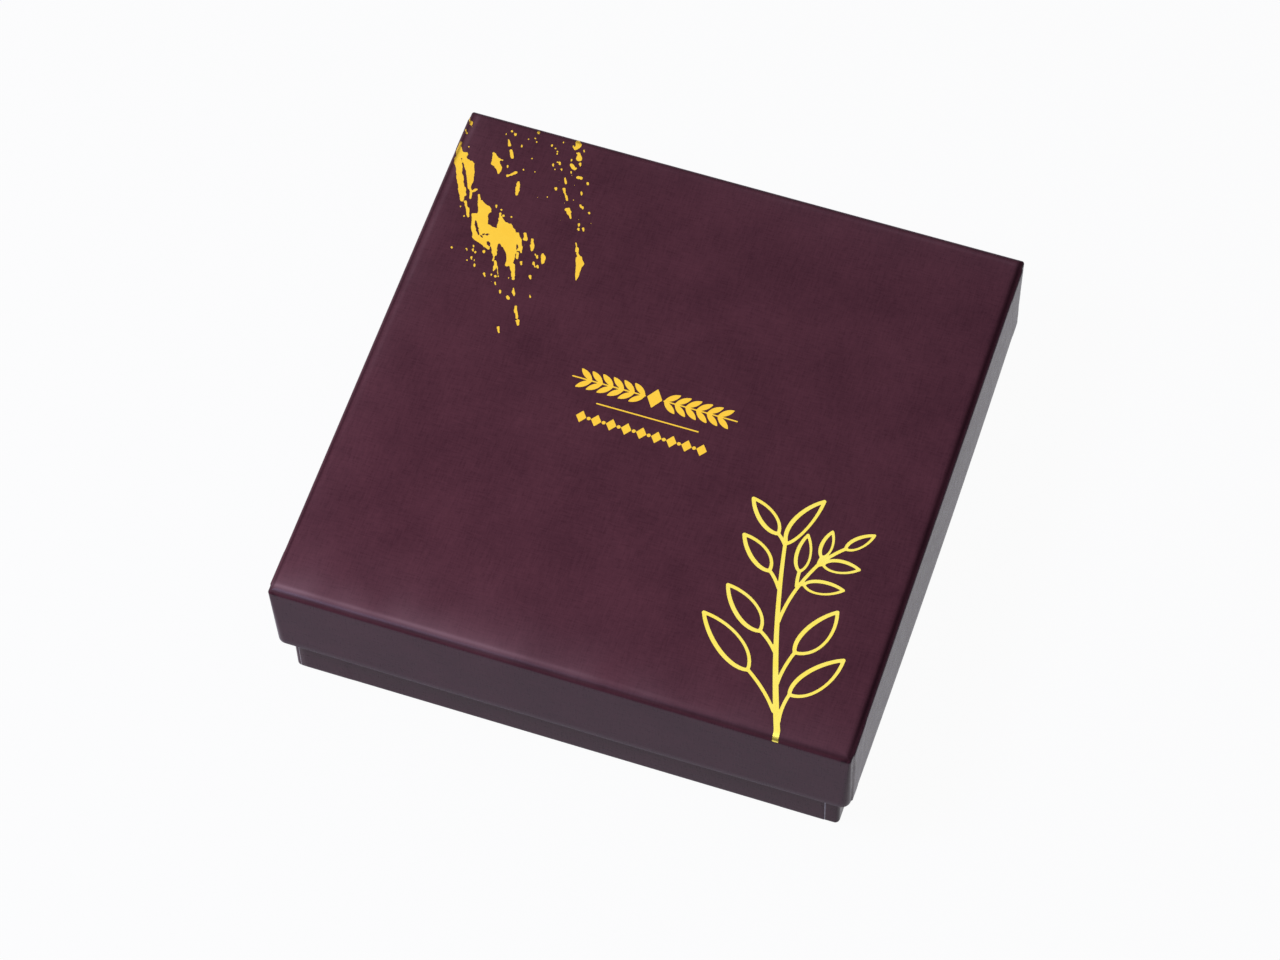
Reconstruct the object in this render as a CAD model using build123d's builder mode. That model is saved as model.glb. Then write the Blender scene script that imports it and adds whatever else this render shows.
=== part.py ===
import math
import os

from build123d import *

# A two-piece rigid gift box of wrapped greyboard, with nine pralines in a formed tray.
# +Z is up, -Y is the front, and the origin is the middle of the base's underside.
# Lengths are in millimetres and angles in degrees.

os.makedirs("parts", exist_ok=True)

# Closed box
lid_side = 120.0
lid_depth = 21.6  # outside height of the lid
box_height = 34.8  # underside of the base to the top of the lid, without the foil
board = 1.5  # greyboard
paper = 0.25  # covering or lining paper with its glue
lid_fit = 0.4  # air between the lid and the base, on each side
rest_gap = 0.2  # air under a piece that lies on another
overrun = 1.0  # how far a cutting shape passes the face that it cuts

# Folds, corners and cut edges of the covering paper
lid_corner_radius = 1.8
lid_fold_radius = 1.2
lid_turn_in = 15.0  # paper turned in over the rim
lid_seam_inset = 2.0  # cut edges of the side panels, in from the lid's corners
base_corner_radius = 1.0
base_fold_radius = 0.8
base_turn_in = 18.0
base_seam_left = 1.2  # cut edges of the front panel, in from the base's corners
base_seam_right = 3.0
seam_width = 0.3
seam_depth = 0.12
stay_width = 10.0  # each arm of a corner stay
stay_thick = 0.15

# Insert tray
tray_fit = 0.5  # air between the tray and the base's lining, on each side
tray_sheet = 0.4
tray_corner_radius = 4.0
tray_rim = 2.9  # flat rim round the pockets
pocket_web = 3.6  # flat bar between two pockets
pocket_corner_radius = 7.0
pocket_draft = 4.0  # degrees
pockets_each_way = 3

# Cushion pad
pad_fit = 1.0  # air between the pad and the base's lining, on each side
pad_head_gap = 0.6  # air between the pad and the lid's lining
pad_thick = 4.8
pad_corner_radius = 5.0
pad_edge_radius = 1.8
pad_channel_radius = 2.2
pad_channel_depth = 0.8
pad_channels = 5

# What follows from the sizes above
shell = paper + board + paper  # from a shell's outside face to its inside face
lid_inside = lid_side - 2 * shell
base_side = lid_inside - 2 * lid_fit
base_inside = base_side - 2 * shell
base_height = box_height - shell - rest_gap
pad_side = base_inside - 2 * pad_fit
pad_bottom = box_height - shell - pad_head_gap - pad_thick
tray_side = base_inside - 2 * tray_fit
tray_bottom = shell + rest_gap
tray_top = pad_bottom - rest_gap
tray_height = tray_top - tray_bottom
pocket_depth = tray_height - tray_sheet
pocket_row = tray_side - 2 * tray_rim + pocket_web
pocket_pitch = pocket_row / pockets_each_way
pocket_mouth = pocket_pitch - pocket_web
pocket_floor = pocket_mouth - 2 * pocket_depth * math.tan(math.radians(pocket_draft))
praline_bottom = tray_bottom + tray_sheet + rest_gap
praline_room = tray_top - praline_bottom
base_plane = Plane.XY
lid_plane = Plane(origin=(0, 0, box_height), x_dir=(1, 0, 0), z_dir=(0, 0, -1))
foil_plane = Plane.XY.offset(box_height)


# Shells of wrapped board: the plane is the closed face, and the shell opens along its normal


def closed_block(plane, side, depth, corner_radius, fold_radius):
    """A block with rounded corners, and rounded folds round its closed face."""
    with BuildPart() as block:
        with BuildSketch(plane):
            RectangleRounded(side, side, corner_radius)
        extrude(amount=depth)
        closed_face = block.faces().sort_by_distance(plane.origin)[0]
        fillet(closed_face.edges(), fold_radius)
    return block


def corner_stays(plane, side, depth, corner_radius, fold_radius):
    """Four angled strips of paper, let into the outside of the board's corners."""
    outside = side - 2 * paper
    inside = outside - 2 * stay_thick
    span = outside - 2 * stay_width
    with BuildPart() as stays:
        with BuildSketch(plane.offset(fold_radius)):
            RectangleRounded(outside, outside, corner_radius - paper)
            RectangleRounded(inside, inside, corner_radius - paper - stay_thick, mode=Mode.SUBTRACT)
            Rectangle(span, side, mode=Mode.SUBTRACT)
            Rectangle(side, span, mode=Mode.SUBTRACT)
        extrude(amount=depth - paper - fold_radius)
    return stays


def board_shell(plane, side, depth, core, stays):
    """Greyboard folded up into four walls, with room for the stays."""
    inside = side - 2 * (paper + board)
    with BuildPart() as folded:
        add(core.part)
        with BuildSketch(plane.offset(paper + board)):
            Rectangle(inside, inside)
        extrude(amount=depth, mode=Mode.SUBTRACT)
        add(stays.part, mode=Mode.SUBTRACT)
    return folded


def paper_wrap(plane, side, depth, fold_radius, block, core, turn_in, seams):
    """Covering paper: the closed face, four sides, over the rim and down inside it."""
    inside = side - 2 * shell
    with BuildPart() as wrap:
        add(block.part)
        add(core.part, mode=Mode.SUBTRACT)
        with BuildSketch(plane.offset(depth - paper)):
            Rectangle(inside, inside)
        extrude(amount=overrun, mode=Mode.SUBTRACT)
        with BuildSketch(plane.offset(depth - paper)):
            Rectangle(inside + 2 * paper, inside + 2 * paper)
            Rectangle(inside, inside, mode=Mode.SUBTRACT)
        extrude(amount=-(turn_in - paper))
        with BuildSketch(plane.offset(fold_radius)):
            for x, y, width, length in seams:
                with Locations((x, y)):
                    Rectangle(width, length)
        extrude(amount=depth, mode=Mode.SUBTRACT)
    return wrap


def lining(plane, side, depth, turn_in):
    """Lining paper over the closed face and up the walls to the turned-in paper."""
    outside = side - 2 * (paper + board)
    with BuildPart() as lined:
        with BuildSketch(plane.offset(paper + board)):
            Rectangle(outside, outside)
        extrude(amount=depth - paper - board - turn_in - rest_gap)
        with BuildSketch(plane.offset(shell)):
            Rectangle(outside - 2 * paper, outside - 2 * paper)
        extrude(amount=depth, mode=Mode.SUBTRACT)
    return lined


def make_shell(plane, side, depth, corner_radius, fold_radius, turn_in, seams):
    """One wrapped shell as its four pieces: board, stays, wrap and lining."""
    block = closed_block(plane, side, depth, corner_radius, fold_radius)
    core = closed_block(
        plane.offset(paper),
        side - 2 * paper,
        depth - 2 * paper,
        corner_radius - paper,
        fold_radius - paper,
    )
    stays = corner_stays(plane, side, depth, corner_radius, fold_radius)
    folded = board_shell(plane, side, depth, core, stays)
    wrap = paper_wrap(plane, side, depth, fold_radius, block, core, turn_in, seams)
    return folded, stays, wrap, lining(plane, side, depth, turn_in)


# The base's front and back panels are laid over its side panels, the lid's side panels over its front
base_seams = [
    (x, y * base_side / 2, seam_width, 2 * seam_depth)
    for x in (base_seam_left - base_side / 2, base_side / 2 - base_seam_right)
    for y in (-1, 1)
]
lid_seams = [
    (x * lid_side / 2, y * (lid_side / 2 - lid_seam_inset), 2 * seam_depth, seam_width)
    for x in (-1, 1)
    for y in (-1, 1)
]
base_board, base_corner_stays, base_wrap, base_liner = make_shell(
    base_plane,
    base_side,
    base_height,
    base_corner_radius,
    base_fold_radius,
    base_turn_in,
    base_seams,
)
lid_board, lid_corner_stays, lid_wrap, lid_liner = make_shell(
    lid_plane,
    lid_side,
    lid_depth,
    lid_corner_radius,
    lid_fold_radius,
    lid_turn_in,
    lid_seams,
)

# Insert tray: a thin formed sheet with an outer skirt and nine drafted pockets that stand on the floor
with BuildPart() as insert_tray:
    with BuildSketch(Plane.XY.offset(tray_top)):
        RectangleRounded(tray_side, tray_side, tray_corner_radius)
    extrude(amount=-tray_height)
    with BuildSketch(Plane.XY.offset(tray_top - tray_sheet)):
        inner_side = tray_side - 2 * tray_sheet
        RectangleRounded(inner_side, inner_side, tray_corner_radius - tray_sheet)
    extrude(amount=-tray_height, mode=Mode.SUBTRACT)
    with BuildSketch(Plane.XY.offset(tray_top)):
        outer_mouth = pocket_mouth + 2 * tray_sheet
        with GridLocations(pocket_pitch, pocket_pitch, pockets_each_way, pockets_each_way):
            RectangleRounded(outer_mouth, outer_mouth, pocket_corner_radius + tray_sheet)
    extrude(amount=-tray_height, taper=pocket_draft)
    with BuildSketch(Plane.XY.offset(tray_top)):
        with GridLocations(pocket_pitch, pocket_pitch, pockets_each_way, pockets_each_way):
            RectangleRounded(pocket_mouth, pocket_mouth, pocket_corner_radius)
    extrude(amount=-pocket_depth, taper=pocket_draft, mode=Mode.SUBTRACT)

# Cushion pad: a soft slab with rounded edges and pressed channels both ways
channel_z = pad_bottom + pad_thick + pad_channel_radius - pad_channel_depth
channel_pitch = pad_side / (pad_channels + 1)
channel_places = [channel_pitch * (i - (pad_channels - 1) / 2) for i in range(pad_channels)]
with BuildPart() as cushion_pad:
    with BuildSketch(Plane.XY.offset(pad_bottom)):
        RectangleRounded(pad_side, pad_side, pad_corner_radius)
    extrude(amount=pad_thick)
    level_faces = cushion_pad.faces().filter_by(Axis.Z)
    fillet(level_faces.edges(), pad_edge_radius)
    with Locations(*[(0, y, channel_z) for y in channel_places]):
        Cylinder(pad_channel_radius, pad_side + overrun, rotation=(0, 90, 0), mode=Mode.SUBTRACT)
    with Locations(*[(x, 0, channel_z) for x in channel_places]):
        Cylinder(pad_channel_radius, pad_side + overrun, rotation=(90, 0, 0), mode=Mode.SUBTRACT)


# Pralines: a side gap is the air to the pocket's wall at its floor, a head gap the air to its mouth


def pocket(column, row):
    """The plane that a praline stands on: columns run left to right, rows front to back."""
    return Plane(origin=(column * pocket_pitch, row * pocket_pitch, praline_bottom))


round_handle_share = 0.552  # the pull of the curve handles that make a quarter round


def quarter_round(middle, radius, rise):
    """A quarter round from the side at the middle's height to the axis, above or below it."""
    pull = round_handle_share
    Bezier(
        (radius, middle),
        (radius, middle + rise * pull),
        (radius * pull, middle + rise),
        (0, middle + rise),
    )


# Fluted dome
dome_side_gap = 1.3
dome_head_gap = 5.2
dome_wall = 6.0
dome_flutes = 12
dome_flute_radius = 1.7
dome_flute_out = 0.6  # middle of a flute, out from the dome's side
dome_radius = pocket_floor / 2 - dome_side_gap
dome_height = praline_room - dome_head_gap
dome_plane = pocket(-1, 1)
dome_section = Plane(dome_plane.origin, x_dir=(1, 0, 0), z_dir=(0, -1, 0))
with BuildPart() as praline_dome:
    with BuildSketch(dome_section):
        with BuildLine():
            Line((0, 0), (dome_radius, 0))
            Line((dome_radius, 0), (dome_radius, dome_wall))
            quarter_round(dome_wall, dome_radius, dome_height - dome_wall)
            Line((0, dome_height), (0, 0))
        make_face()
    revolve(axis=Axis(dome_plane.origin, (0, 0, 1)))
    with BuildSketch(dome_plane):
        with PolarLocations(dome_radius + dome_flute_out, dome_flutes):
            Circle(dome_flute_radius)
    extrude(amount=dome_height, mode=Mode.SUBTRACT)

# Square pillow
pillow_side_gap = 1.75
pillow_head_gap = 8.4
pillow_corner_radius = 5.0
pillow_edge_radius = 3.0
pillow_draft = 4.0
pillow_side = pocket_floor - 2 * pillow_side_gap
pillow_height = praline_room - pillow_head_gap
with BuildPart() as praline_pillow:
    with BuildSketch(pocket(0, 1)):
        RectangleRounded(pillow_side, pillow_side, pillow_corner_radius)
    extrude(amount=pillow_height, taper=pillow_draft)
    fillet(praline_pillow.faces().sort_by(Axis.Z)[-1].edges(), pillow_edge_radius)

# Round truffle
truffle_side_gap = 2.3
truffle_head_gap = 1.0
truffle_flat = 1.0  # how much of the ball is cut away to stand it
truffle_radius = pocket_floor / 2 - truffle_side_gap
truffle_half_height = (praline_room - truffle_head_gap + truffle_flat) / 2
truffle_plane = pocket(1, 1)
truffle_middle = truffle_half_height - truffle_flat
truffle_section = Plane(truffle_plane.origin, x_dir=(1, 0, 0), z_dir=(0, -1, 0))
with BuildPart() as praline_truffle:
    with BuildSketch(truffle_section):
        with BuildLine():
            quarter_round(truffle_middle, truffle_radius, truffle_half_height)
            quarter_round(truffle_middle, truffle_radius, -truffle_half_height)
            Line((0, truffle_middle + truffle_half_height), (0, truffle_middle - truffle_half_height))
        make_face()
    revolve(axis=Axis(truffle_plane.origin, (0, 0, 1)))
    split(bisect_by=truffle_plane, keep=Keep.TOP)

# Heart: two round lobes drawn in to a point
heart_side_gap = 0.5
heart_head_gap = 10.4
heart_lobe_radius_share = 0.271  # these four are shares of the heart's width
heart_lobe_spread_share = 0.229
heart_lobe_rise_share = 0.15
heart_tip_drop_share = 0.479
heart_tip_radius = 2.2
heart_edge_radius = 2.2
heart_draft = 5.0
heart_width = pocket_floor - 2 * heart_side_gap
heart_height = praline_room - heart_head_gap
heart_lobe_radius = heart_width * heart_lobe_radius_share
heart_lobe_spread = heart_width * heart_lobe_spread_share
heart_lobe_rise = heart_width * heart_lobe_rise_share
heart_tip_drop = heart_width * heart_tip_drop_share
heart_reach = math.hypot(heart_lobe_spread, heart_lobe_rise + heart_tip_drop)
heart_run = math.sqrt(heart_reach**2 - heart_lobe_radius**2)
heart_lean = math.atan2(heart_lobe_rise + heart_tip_drop, heart_lobe_spread)
heart_lean -= math.asin(heart_lobe_radius / heart_reach)
heart_side = (heart_run * math.cos(heart_lean), heart_run * math.sin(heart_lean) - heart_tip_drop)
heart_top = heart_lobe_rise + math.sqrt(heart_lobe_radius**2 - heart_lobe_spread**2)
heart_shoulder = (heart_lobe_spread, heart_lobe_rise + heart_lobe_radius)
with BuildPart() as praline_heart:
    with BuildSketch(pocket(-1, 0)):
        with BuildLine():
            Line((0, -heart_tip_drop), heart_side)
            ThreePointArc(heart_side, heart_shoulder, (0, heart_top))
            mirror(about=Plane.YZ)
        make_face()
        fillet(vertices().sort_by(Axis.Y)[0], heart_tip_radius)
    extrude(amount=heart_height, taper=heart_draft)
    fillet(praline_heart.faces().sort_by(Axis.Z)[-1].edges(), heart_edge_radius)

# Hazelnut, and the ribbed cup that it sits in
nut_radius = 5.4
nut_tip = 1.2  # how far the point stands past a round nut
nut_shoulder_share = 1.62  # the pull of the two curve handles, in nut radii
nut_neck_share = 0.45
nut_sink = 3.2  # how deep the nut sits in the chocolate
cup_side_gap = 1.5
nut_head_gap = 0.8
cup_draft = 5.0
cup_ribs = 20
cup_rib_radius = 0.9
cup_rib_draft = 2.5
cup_edge_radius = 1.4
swirl_in = 4.4  # edge of the swirl, in from the cup's side
swirl_height = 2.2
swirl_edge_radius = 1.0
cup_radius = pocket_floor / 2 - cup_side_gap
swirl_radius = cup_radius - swirl_in
nut_rise = 2 * nut_radius + nut_tip - nut_sink
cup_height = praline_room - nut_head_gap - nut_rise - swirl_height
cup_plane = pocket(0, 0)
nut_bottom = cup_height + swirl_height - nut_sink
nut_section = Plane(cup_plane.offset(nut_bottom).origin, x_dir=(1, 0, 0), z_dir=(0, -1, 0))
with BuildPart() as hazelnut:
    with BuildSketch(nut_section):
        with BuildLine():
            CenterArc((0, nut_radius), nut_radius, -90, 90)
            Bezier(
                (nut_radius, nut_radius),
                (nut_radius, nut_radius * nut_shoulder_share),
                (nut_radius * nut_neck_share, 2 * nut_radius),
                (0, 2 * nut_radius + nut_tip),
            )
            Line((0, 2 * nut_radius + nut_tip), (0, 0))
        make_face()
    revolve(axis=Axis(cup_plane.origin, (0, 0, 1)))
with BuildPart() as praline_hazelnut:
    with BuildSketch(cup_plane):
        Circle(cup_radius)
    extrude(amount=cup_height, taper=cup_draft)
    fillet(praline_hazelnut.faces().sort_by(Axis.Z)[-1].edges(), cup_edge_radius)
    with BuildSketch(cup_plane):
        with PolarLocations(cup_radius, cup_ribs):
            Circle(cup_rib_radius)
    extrude(amount=cup_height - cup_edge_radius, taper=-cup_rib_draft, mode=Mode.SUBTRACT)
    with BuildSketch(cup_plane.offset(cup_height)):
        Circle(swirl_radius)
    extrude(amount=swirl_height)
    fillet(praline_hazelnut.faces().sort_by(Axis.Z)[-1].edges(), swirl_edge_radius)
    add(hazelnut.part, mode=Mode.SUBTRACT)

# Stepped pyramid
pyramid_side_gap = 2.0
pyramid_head_gap = 6.0
pyramid_steps = 4
pyramid_top_side = 7.0
pyramid_corner_radius = 2.0
pyramid_edge = 0.75
pyramid_side = pocket_floor - 2 * pyramid_side_gap
pyramid_step_height = (praline_room - pyramid_head_gap) / pyramid_steps
pyramid_step_in = (pyramid_side - pyramid_top_side) / (pyramid_steps - 1)
with BuildPart() as praline_pyramid:
    for step in range(pyramid_steps):
        step_side = pyramid_side - step * pyramid_step_in
        with BuildSketch(pocket(1, 0).offset(step * pyramid_step_height)):
            RectangleRounded(step_side, step_side, pyramid_corner_radius)
        extrude(amount=pyramid_step_height)
    pyramid_rims = praline_pyramid.faces().filter_by(Axis.Z).sort_by(Axis.Z)[1:]
    chamfer([face.outer_wire().edges() for face in pyramid_rims], pyramid_edge)

# Oval
oval_end_gap = 0.7
oval_side_gap = 4.3
oval_head_gap = 9.4
oval_edge_share = 0.44  # rounding of the top's edge, as a share of the oval's half width
oval_grooves = 3
oval_groove_pitch = 6.4
oval_groove_radius = 1.8
oval_groove_depth = 1.0
oval_half_length = pocket_floor / 2 - oval_end_gap
oval_half_width = pocket_floor / 2 - oval_side_gap
oval_height = praline_room - oval_head_gap
oval_edge_radius = oval_half_width * oval_edge_share
oval_plane = pocket(-1, -1)
with BuildPart() as praline_oval:
    with BuildSketch(oval_plane):
        Ellipse(oval_half_length, oval_half_width)
    extrude(amount=oval_height)
    fillet(praline_oval.faces().sort_by(Axis.Z)[-1].edges(), oval_edge_radius)
    with Locations(oval_plane.offset(oval_height + oval_groove_radius - oval_groove_depth)):
        with GridLocations(oval_groove_pitch, 0, oval_grooves, 1):
            Cylinder(
                oval_groove_radius,
                2 * oval_half_width + overrun,
                rotation=(90, 0, 0),
                mode=Mode.SUBTRACT,
            )

# Almond, and the round disc that it lies on
almond_half_length = 9.6
almond_radius = 4.6
almond_blunt_share = 0.38  # place of the widest section along the almond
almond_sink = 3.2
almond_head_gap = 5.4
disc_side_gap = 1.3
disc_draft = 6.0
disc_edge_radius = 2.2
disc_radius = pocket_floor / 2 - disc_side_gap
disc_height = praline_room - almond_head_gap - 2 * almond_radius + almond_sink
disc_plane = pocket(0, -1)
almond_origin = disc_plane.offset(disc_height + almond_radius - almond_sink).origin
almond_section = Plane(almond_origin, x_dir=(1, 0, 0), z_dir=(0, -1, 0))
almond_wide = almond_half_length * (2 * almond_blunt_share - 1)
with BuildPart() as almond:
    with BuildSketch(almond_section):
        with BuildLine():
            Spline(
                (-almond_half_length, 0),
                (almond_wide, almond_radius),
                (almond_half_length, 0),
                tangents=[(0, 1), (1, -1)],
            )
            Line((almond_half_length, 0), (-almond_half_length, 0))
        make_face()
    revolve(axis=Axis(almond_origin, (1, 0, 0)))
with BuildPart() as praline_almond:
    with BuildSketch(disc_plane):
        Circle(disc_radius)
    extrude(amount=disc_height, taper=disc_draft)
    fillet(praline_almond.faces().sort_by(Axis.Z)[-1].edges(), disc_edge_radius)
    add(almond.part, mode=Mode.SUBTRACT)

# Cube with a square hollow in its top
cube_side_gap = 3.5
cube_head_gap = 6.4
cube_corner_radius = 2.5
cube_edge = 1.6
cube_rim = 5.0  # flat rim round the hollow
cube_hollow_depth = 1.2
cube_hollow_slope = 45.0
cube_side = pocket_floor - 2 * cube_side_gap
cube_height = praline_room - cube_head_gap
cube_hollow_side = cube_side - 2 * cube_rim
with BuildPart() as praline_cube:
    with BuildSketch(pocket(1, -1)):
        RectangleRounded(cube_side, cube_side, cube_corner_radius)
    extrude(amount=cube_height)
    chamfer(praline_cube.faces().sort_by(Axis.Z)[-1].edges(), cube_edge)
    with BuildSketch(pocket(1, -1).offset(cube_height)):
        RectangleRounded(cube_hollow_side, cube_hollow_side, cube_corner_radius)
    extrude(amount=-cube_hollow_depth, taper=cube_hollow_slope, mode=Mode.SUBTRACT)

# Foil blocked on the lid, all on its flat top inside the folds
foil_thick = 0.05
leaf_start_share = 1.6  # how far the hole in an outlined leaf stays from its ends, in line widths
leaf_tip_share = 2.0


def leaf_face(start, tip, half_width, mode=Mode.ADD):
    """Adds to the sketch, or takes from it, a pointed leaf between two points."""
    run = Vector(*tip) - Vector(*start)
    middle = (Vector(*start) + Vector(*tip)) / 2
    side = Vector(-run.Y, run.X).normalized() * half_width
    with BuildLine() as outline:
        ThreePointArc(start, middle + side, tip)
        ThreePointArc(tip, middle - side, start)
    make_face(outline.edges(), mode=mode)


def leaf_outline(start, tip, half_width, line):
    """An outlined leaf: a pointed leaf with a smaller one taken out of it."""
    along = (Vector(*tip) - Vector(*start)).normalized() * line
    leaf_face(start, tip, half_width)
    inner_start = Vector(*start) + along * leaf_start_share
    inner_tip = Vector(*tip) - along * leaf_tip_share
    leaf_face(inner_start, inner_tip, half_width - line, mode=Mode.SUBTRACT)


# Sprig: an upright stem with a side branch and outlined leaves, drawn from the foot of its stem
sprig_height = 51.5
sprig_foot_in = 15.4  # foot of the stem, in from the lid's right side
sprig_stem_width = 1.0
sprig_line = 0.6
sprig_thin_line = 0.5
sprig_foot = (lid_side / 2 - sprig_foot_in, lid_fold_radius - lid_side / 2)

# Each leaf as shares of the sprig's height from its foot: start x, y, tip x, y, and half width
sprig_leaf_shares = [
    (-0.254, 0.808, -0.392, 0.928, 0.030),
    (-0.210, 0.777, -0.126, 1.000, 0.032),
    (-0.237, 0.643, -0.377, 0.765, 0.033),
    (-0.192, 0.383, -0.369, 0.536, 0.042),
    (-0.185, 0.210, -0.420, 0.394, 0.047),
    (-0.037, 0.336, 0.066, 0.553, 0.046),
    (-0.002, 0.159, 0.150, 0.363, 0.043),
    (-0.126, 0.676, -0.142, 0.839, 0.027),
    (-0.062, 0.761, -0.056, 0.882, 0.020),
    (0.014, 0.825, 0.103, 0.917, 0.020),
    (-0.049, 0.734, 0.091, 0.755, 0.026),
    (-0.093, 0.627, 0.060, 0.650, 0.027),
]
# Each stalk the same way: start, middle and end
sprig_stalk_shares = [
    (-0.214, 0.769, -0.232, 0.792, -0.256, 0.812),
    (-0.196, 0.598, -0.213, 0.625, -0.239, 0.647),
    (-0.128, 0.330, -0.156, 0.361, -0.194, 0.387),
    (-0.039, 0.074, -0.100, 0.150, -0.187, 0.214),
    (-0.060, 0.190, -0.058, 0.262, -0.036, 0.340),
    (-0.006, 0.039, -0.014, 0.100, -0.001, 0.163),
    (-0.136, 0.445, -0.126, 0.584, -0.066, 0.726),
    (-0.066, 0.726, -0.030, 0.782, 0.016, 0.828),
    (-0.117, 0.612, -0.124, 0.645, -0.126, 0.680),
    (-0.066, 0.726, -0.066, 0.744, -0.062, 0.765),
    (-0.070, 0.720, -0.060, 0.730, -0.046, 0.734),
    (-0.112, 0.622, -0.103, 0.626, -0.090, 0.627),
]
sprig_stem_shares = (0.0, 0.0, -0.134, 0.383, -0.214, 0.772)


def sprig_point(x_share, y_share):
    return (sprig_foot[0] + x_share * sprig_height, sprig_foot[1] + y_share * sprig_height)


def stroke(shares, width):
    """A curved line of even width through three points of the sprig."""
    points = [sprig_point(*shares[i : i + 2]) for i in (0, 2, 4)]
    with BuildLine() as line:
        ThreePointArc(*points)
    trace(line.edges(), line_width=width)


with BuildPart() as foil_sprig:
    with BuildSketch(foil_plane):
        for leaf_shares in sprig_leaf_shares:
            leaf_start = sprig_point(*leaf_shares[:2])
            leaf_tip = sprig_point(*leaf_shares[2:4])
            leaf_outline(leaf_start, leaf_tip, leaf_shares[4] * sprig_height, sprig_line)
        for stalk_shares in sprig_stalk_shares:
            stroke(stalk_shares, sprig_thin_line)
        stroke(sprig_stem_shares, sprig_stem_width)
    extrude(amount=foil_thick)

# Ornament: a laurel band over a rule, and a row of lozenges and dots under it
band_middle = (-1.4, 5.0)
band_half_length = 18.0
band_leaves = 6  # pairs of leaves on each side of the middle
band_leaf_length = 3.7
band_leaf_half_width = 0.62
band_leaf_angle = 38.0
band_line = 0.3
band_lozenge = (3.2, 4.6)
band_middle_gap = 2.0
rule_length = 21.4
rule_drop = 4.7  # below the middle of the band
row_drop = 8.5
row_half_length = 14.0
row_count = 9
row_lozenge = (2.2, 2.8)
row_dot_radius = 0.4


def lozenge(size):
    """A four-pointed diamond of that width and height."""
    width, height = size[0] / 2, size[1] / 2
    Polygon((width, 0), (0, height), (-width, 0), (0, -height))


band_step = (band_half_length - band_middle_gap - band_leaf_length / 2) / band_leaves
row_step = 2 * row_half_length / (row_count - 1)
with BuildPart() as foil_ornament:
    with BuildSketch(Plane(origin=(*band_middle, box_height))):
        lozenge(band_lozenge)
        for side in (-1, 1):
            with Locations((side * (band_middle_gap + band_half_length) / 2, 0)):
                Rectangle(band_half_length - band_middle_gap, band_line)
            for i in range(band_leaves):
                leaf_x = side * (band_middle_gap + i * band_step)
                for turn in (-1, 1):
                    tip_x = leaf_x + side * band_leaf_length * math.cos(math.radians(band_leaf_angle))
                    tip_y = turn * band_leaf_length * math.sin(math.radians(band_leaf_angle))
                    leaf_face((leaf_x, 0), (tip_x, tip_y), band_leaf_half_width)
        with Locations((0, -rule_drop)):
            Rectangle(rule_length, band_line)
        for i in range(row_count):
            with Locations((i * row_step - row_half_length, -row_drop)):
                lozenge(row_lozenge)
        for i in range(row_count - 1):
            with Locations(((i + 0.5) * row_step - row_half_length, -row_drop)):
                Circle(row_dot_radius)
    extrude(amount=foil_thick)

# Splash: flecks of foil that run one way, with two large torn patches
splash_angle = 110.0
# Each fleck as shares of the lid's side: middle x, y, length and width
splash_shares = [
    (-0.470, 0.365, 0.105, 0.013),
    (-0.458, 0.362, 0.077, 0.011),
    (-0.441, 0.307, 0.044, 0.007),
    (-0.408, 0.290, 0.095, 0.028),
    (-0.411, 0.318, 0.041, 0.016),
    (-0.360, 0.265, 0.088, 0.038),
    (-0.378, 0.262, 0.050, 0.026),
    (-0.363, 0.231, 0.060, 0.009),
    (-0.338, 0.238, 0.044, 0.015),
    (-0.422, 0.408, 0.042, 0.016),
    (-0.370, 0.368, 0.027, 0.009),
    (-0.391, 0.395, 0.019, 0.008),
    (-0.415, 0.456, 0.014, 0.005),
    (-0.404, 0.434, 0.016, 0.005),
    (-0.302, 0.478, 0.018, 0.010),
    (-0.292, 0.463, 0.016, 0.009),
    (-0.293, 0.440, 0.012, 0.009),
    (-0.299, 0.411, 0.016, 0.004),
    (-0.287, 0.383, 0.027, 0.006),
    (-0.272, 0.350, 0.023, 0.011),
    (-0.223, 0.260, 0.075, 0.012),
    (-0.337, 0.274, 0.025, 0.007),
    (-0.311, 0.270, 0.027, 0.008),
    (-0.293, 0.232, 0.014, 0.006),
    (-0.283, 0.249, 0.026, 0.008),
    (-0.251, 0.230, 0.010, 0.007),
    (-0.272, 0.293, 0.011, 0.006),
    (-0.323, 0.207, 0.031, 0.008),
    (-0.357, 0.209, 0.022, 0.008),
    (-0.308, 0.168, 0.014, 0.007),
    (-0.291, 0.131, 0.027, 0.006),
    (-0.307, 0.091, 0.011, 0.005),
    (-0.280, 0.173, 0.010, 0.005),
    (-0.229, 0.333, 0.008, 0.006),
]
with BuildPart() as foil_splash:
    with BuildSketch(foil_plane):
        for x_share, y_share, length_share, width_share in splash_shares:
            with Locations((x_share * lid_side, y_share * lid_side)):
                Ellipse(
                    length_share * lid_side / 2,
                    width_share * lid_side / 2,
                    rotation=splash_angle,
                )
    extrude(amount=foil_thick)

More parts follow.
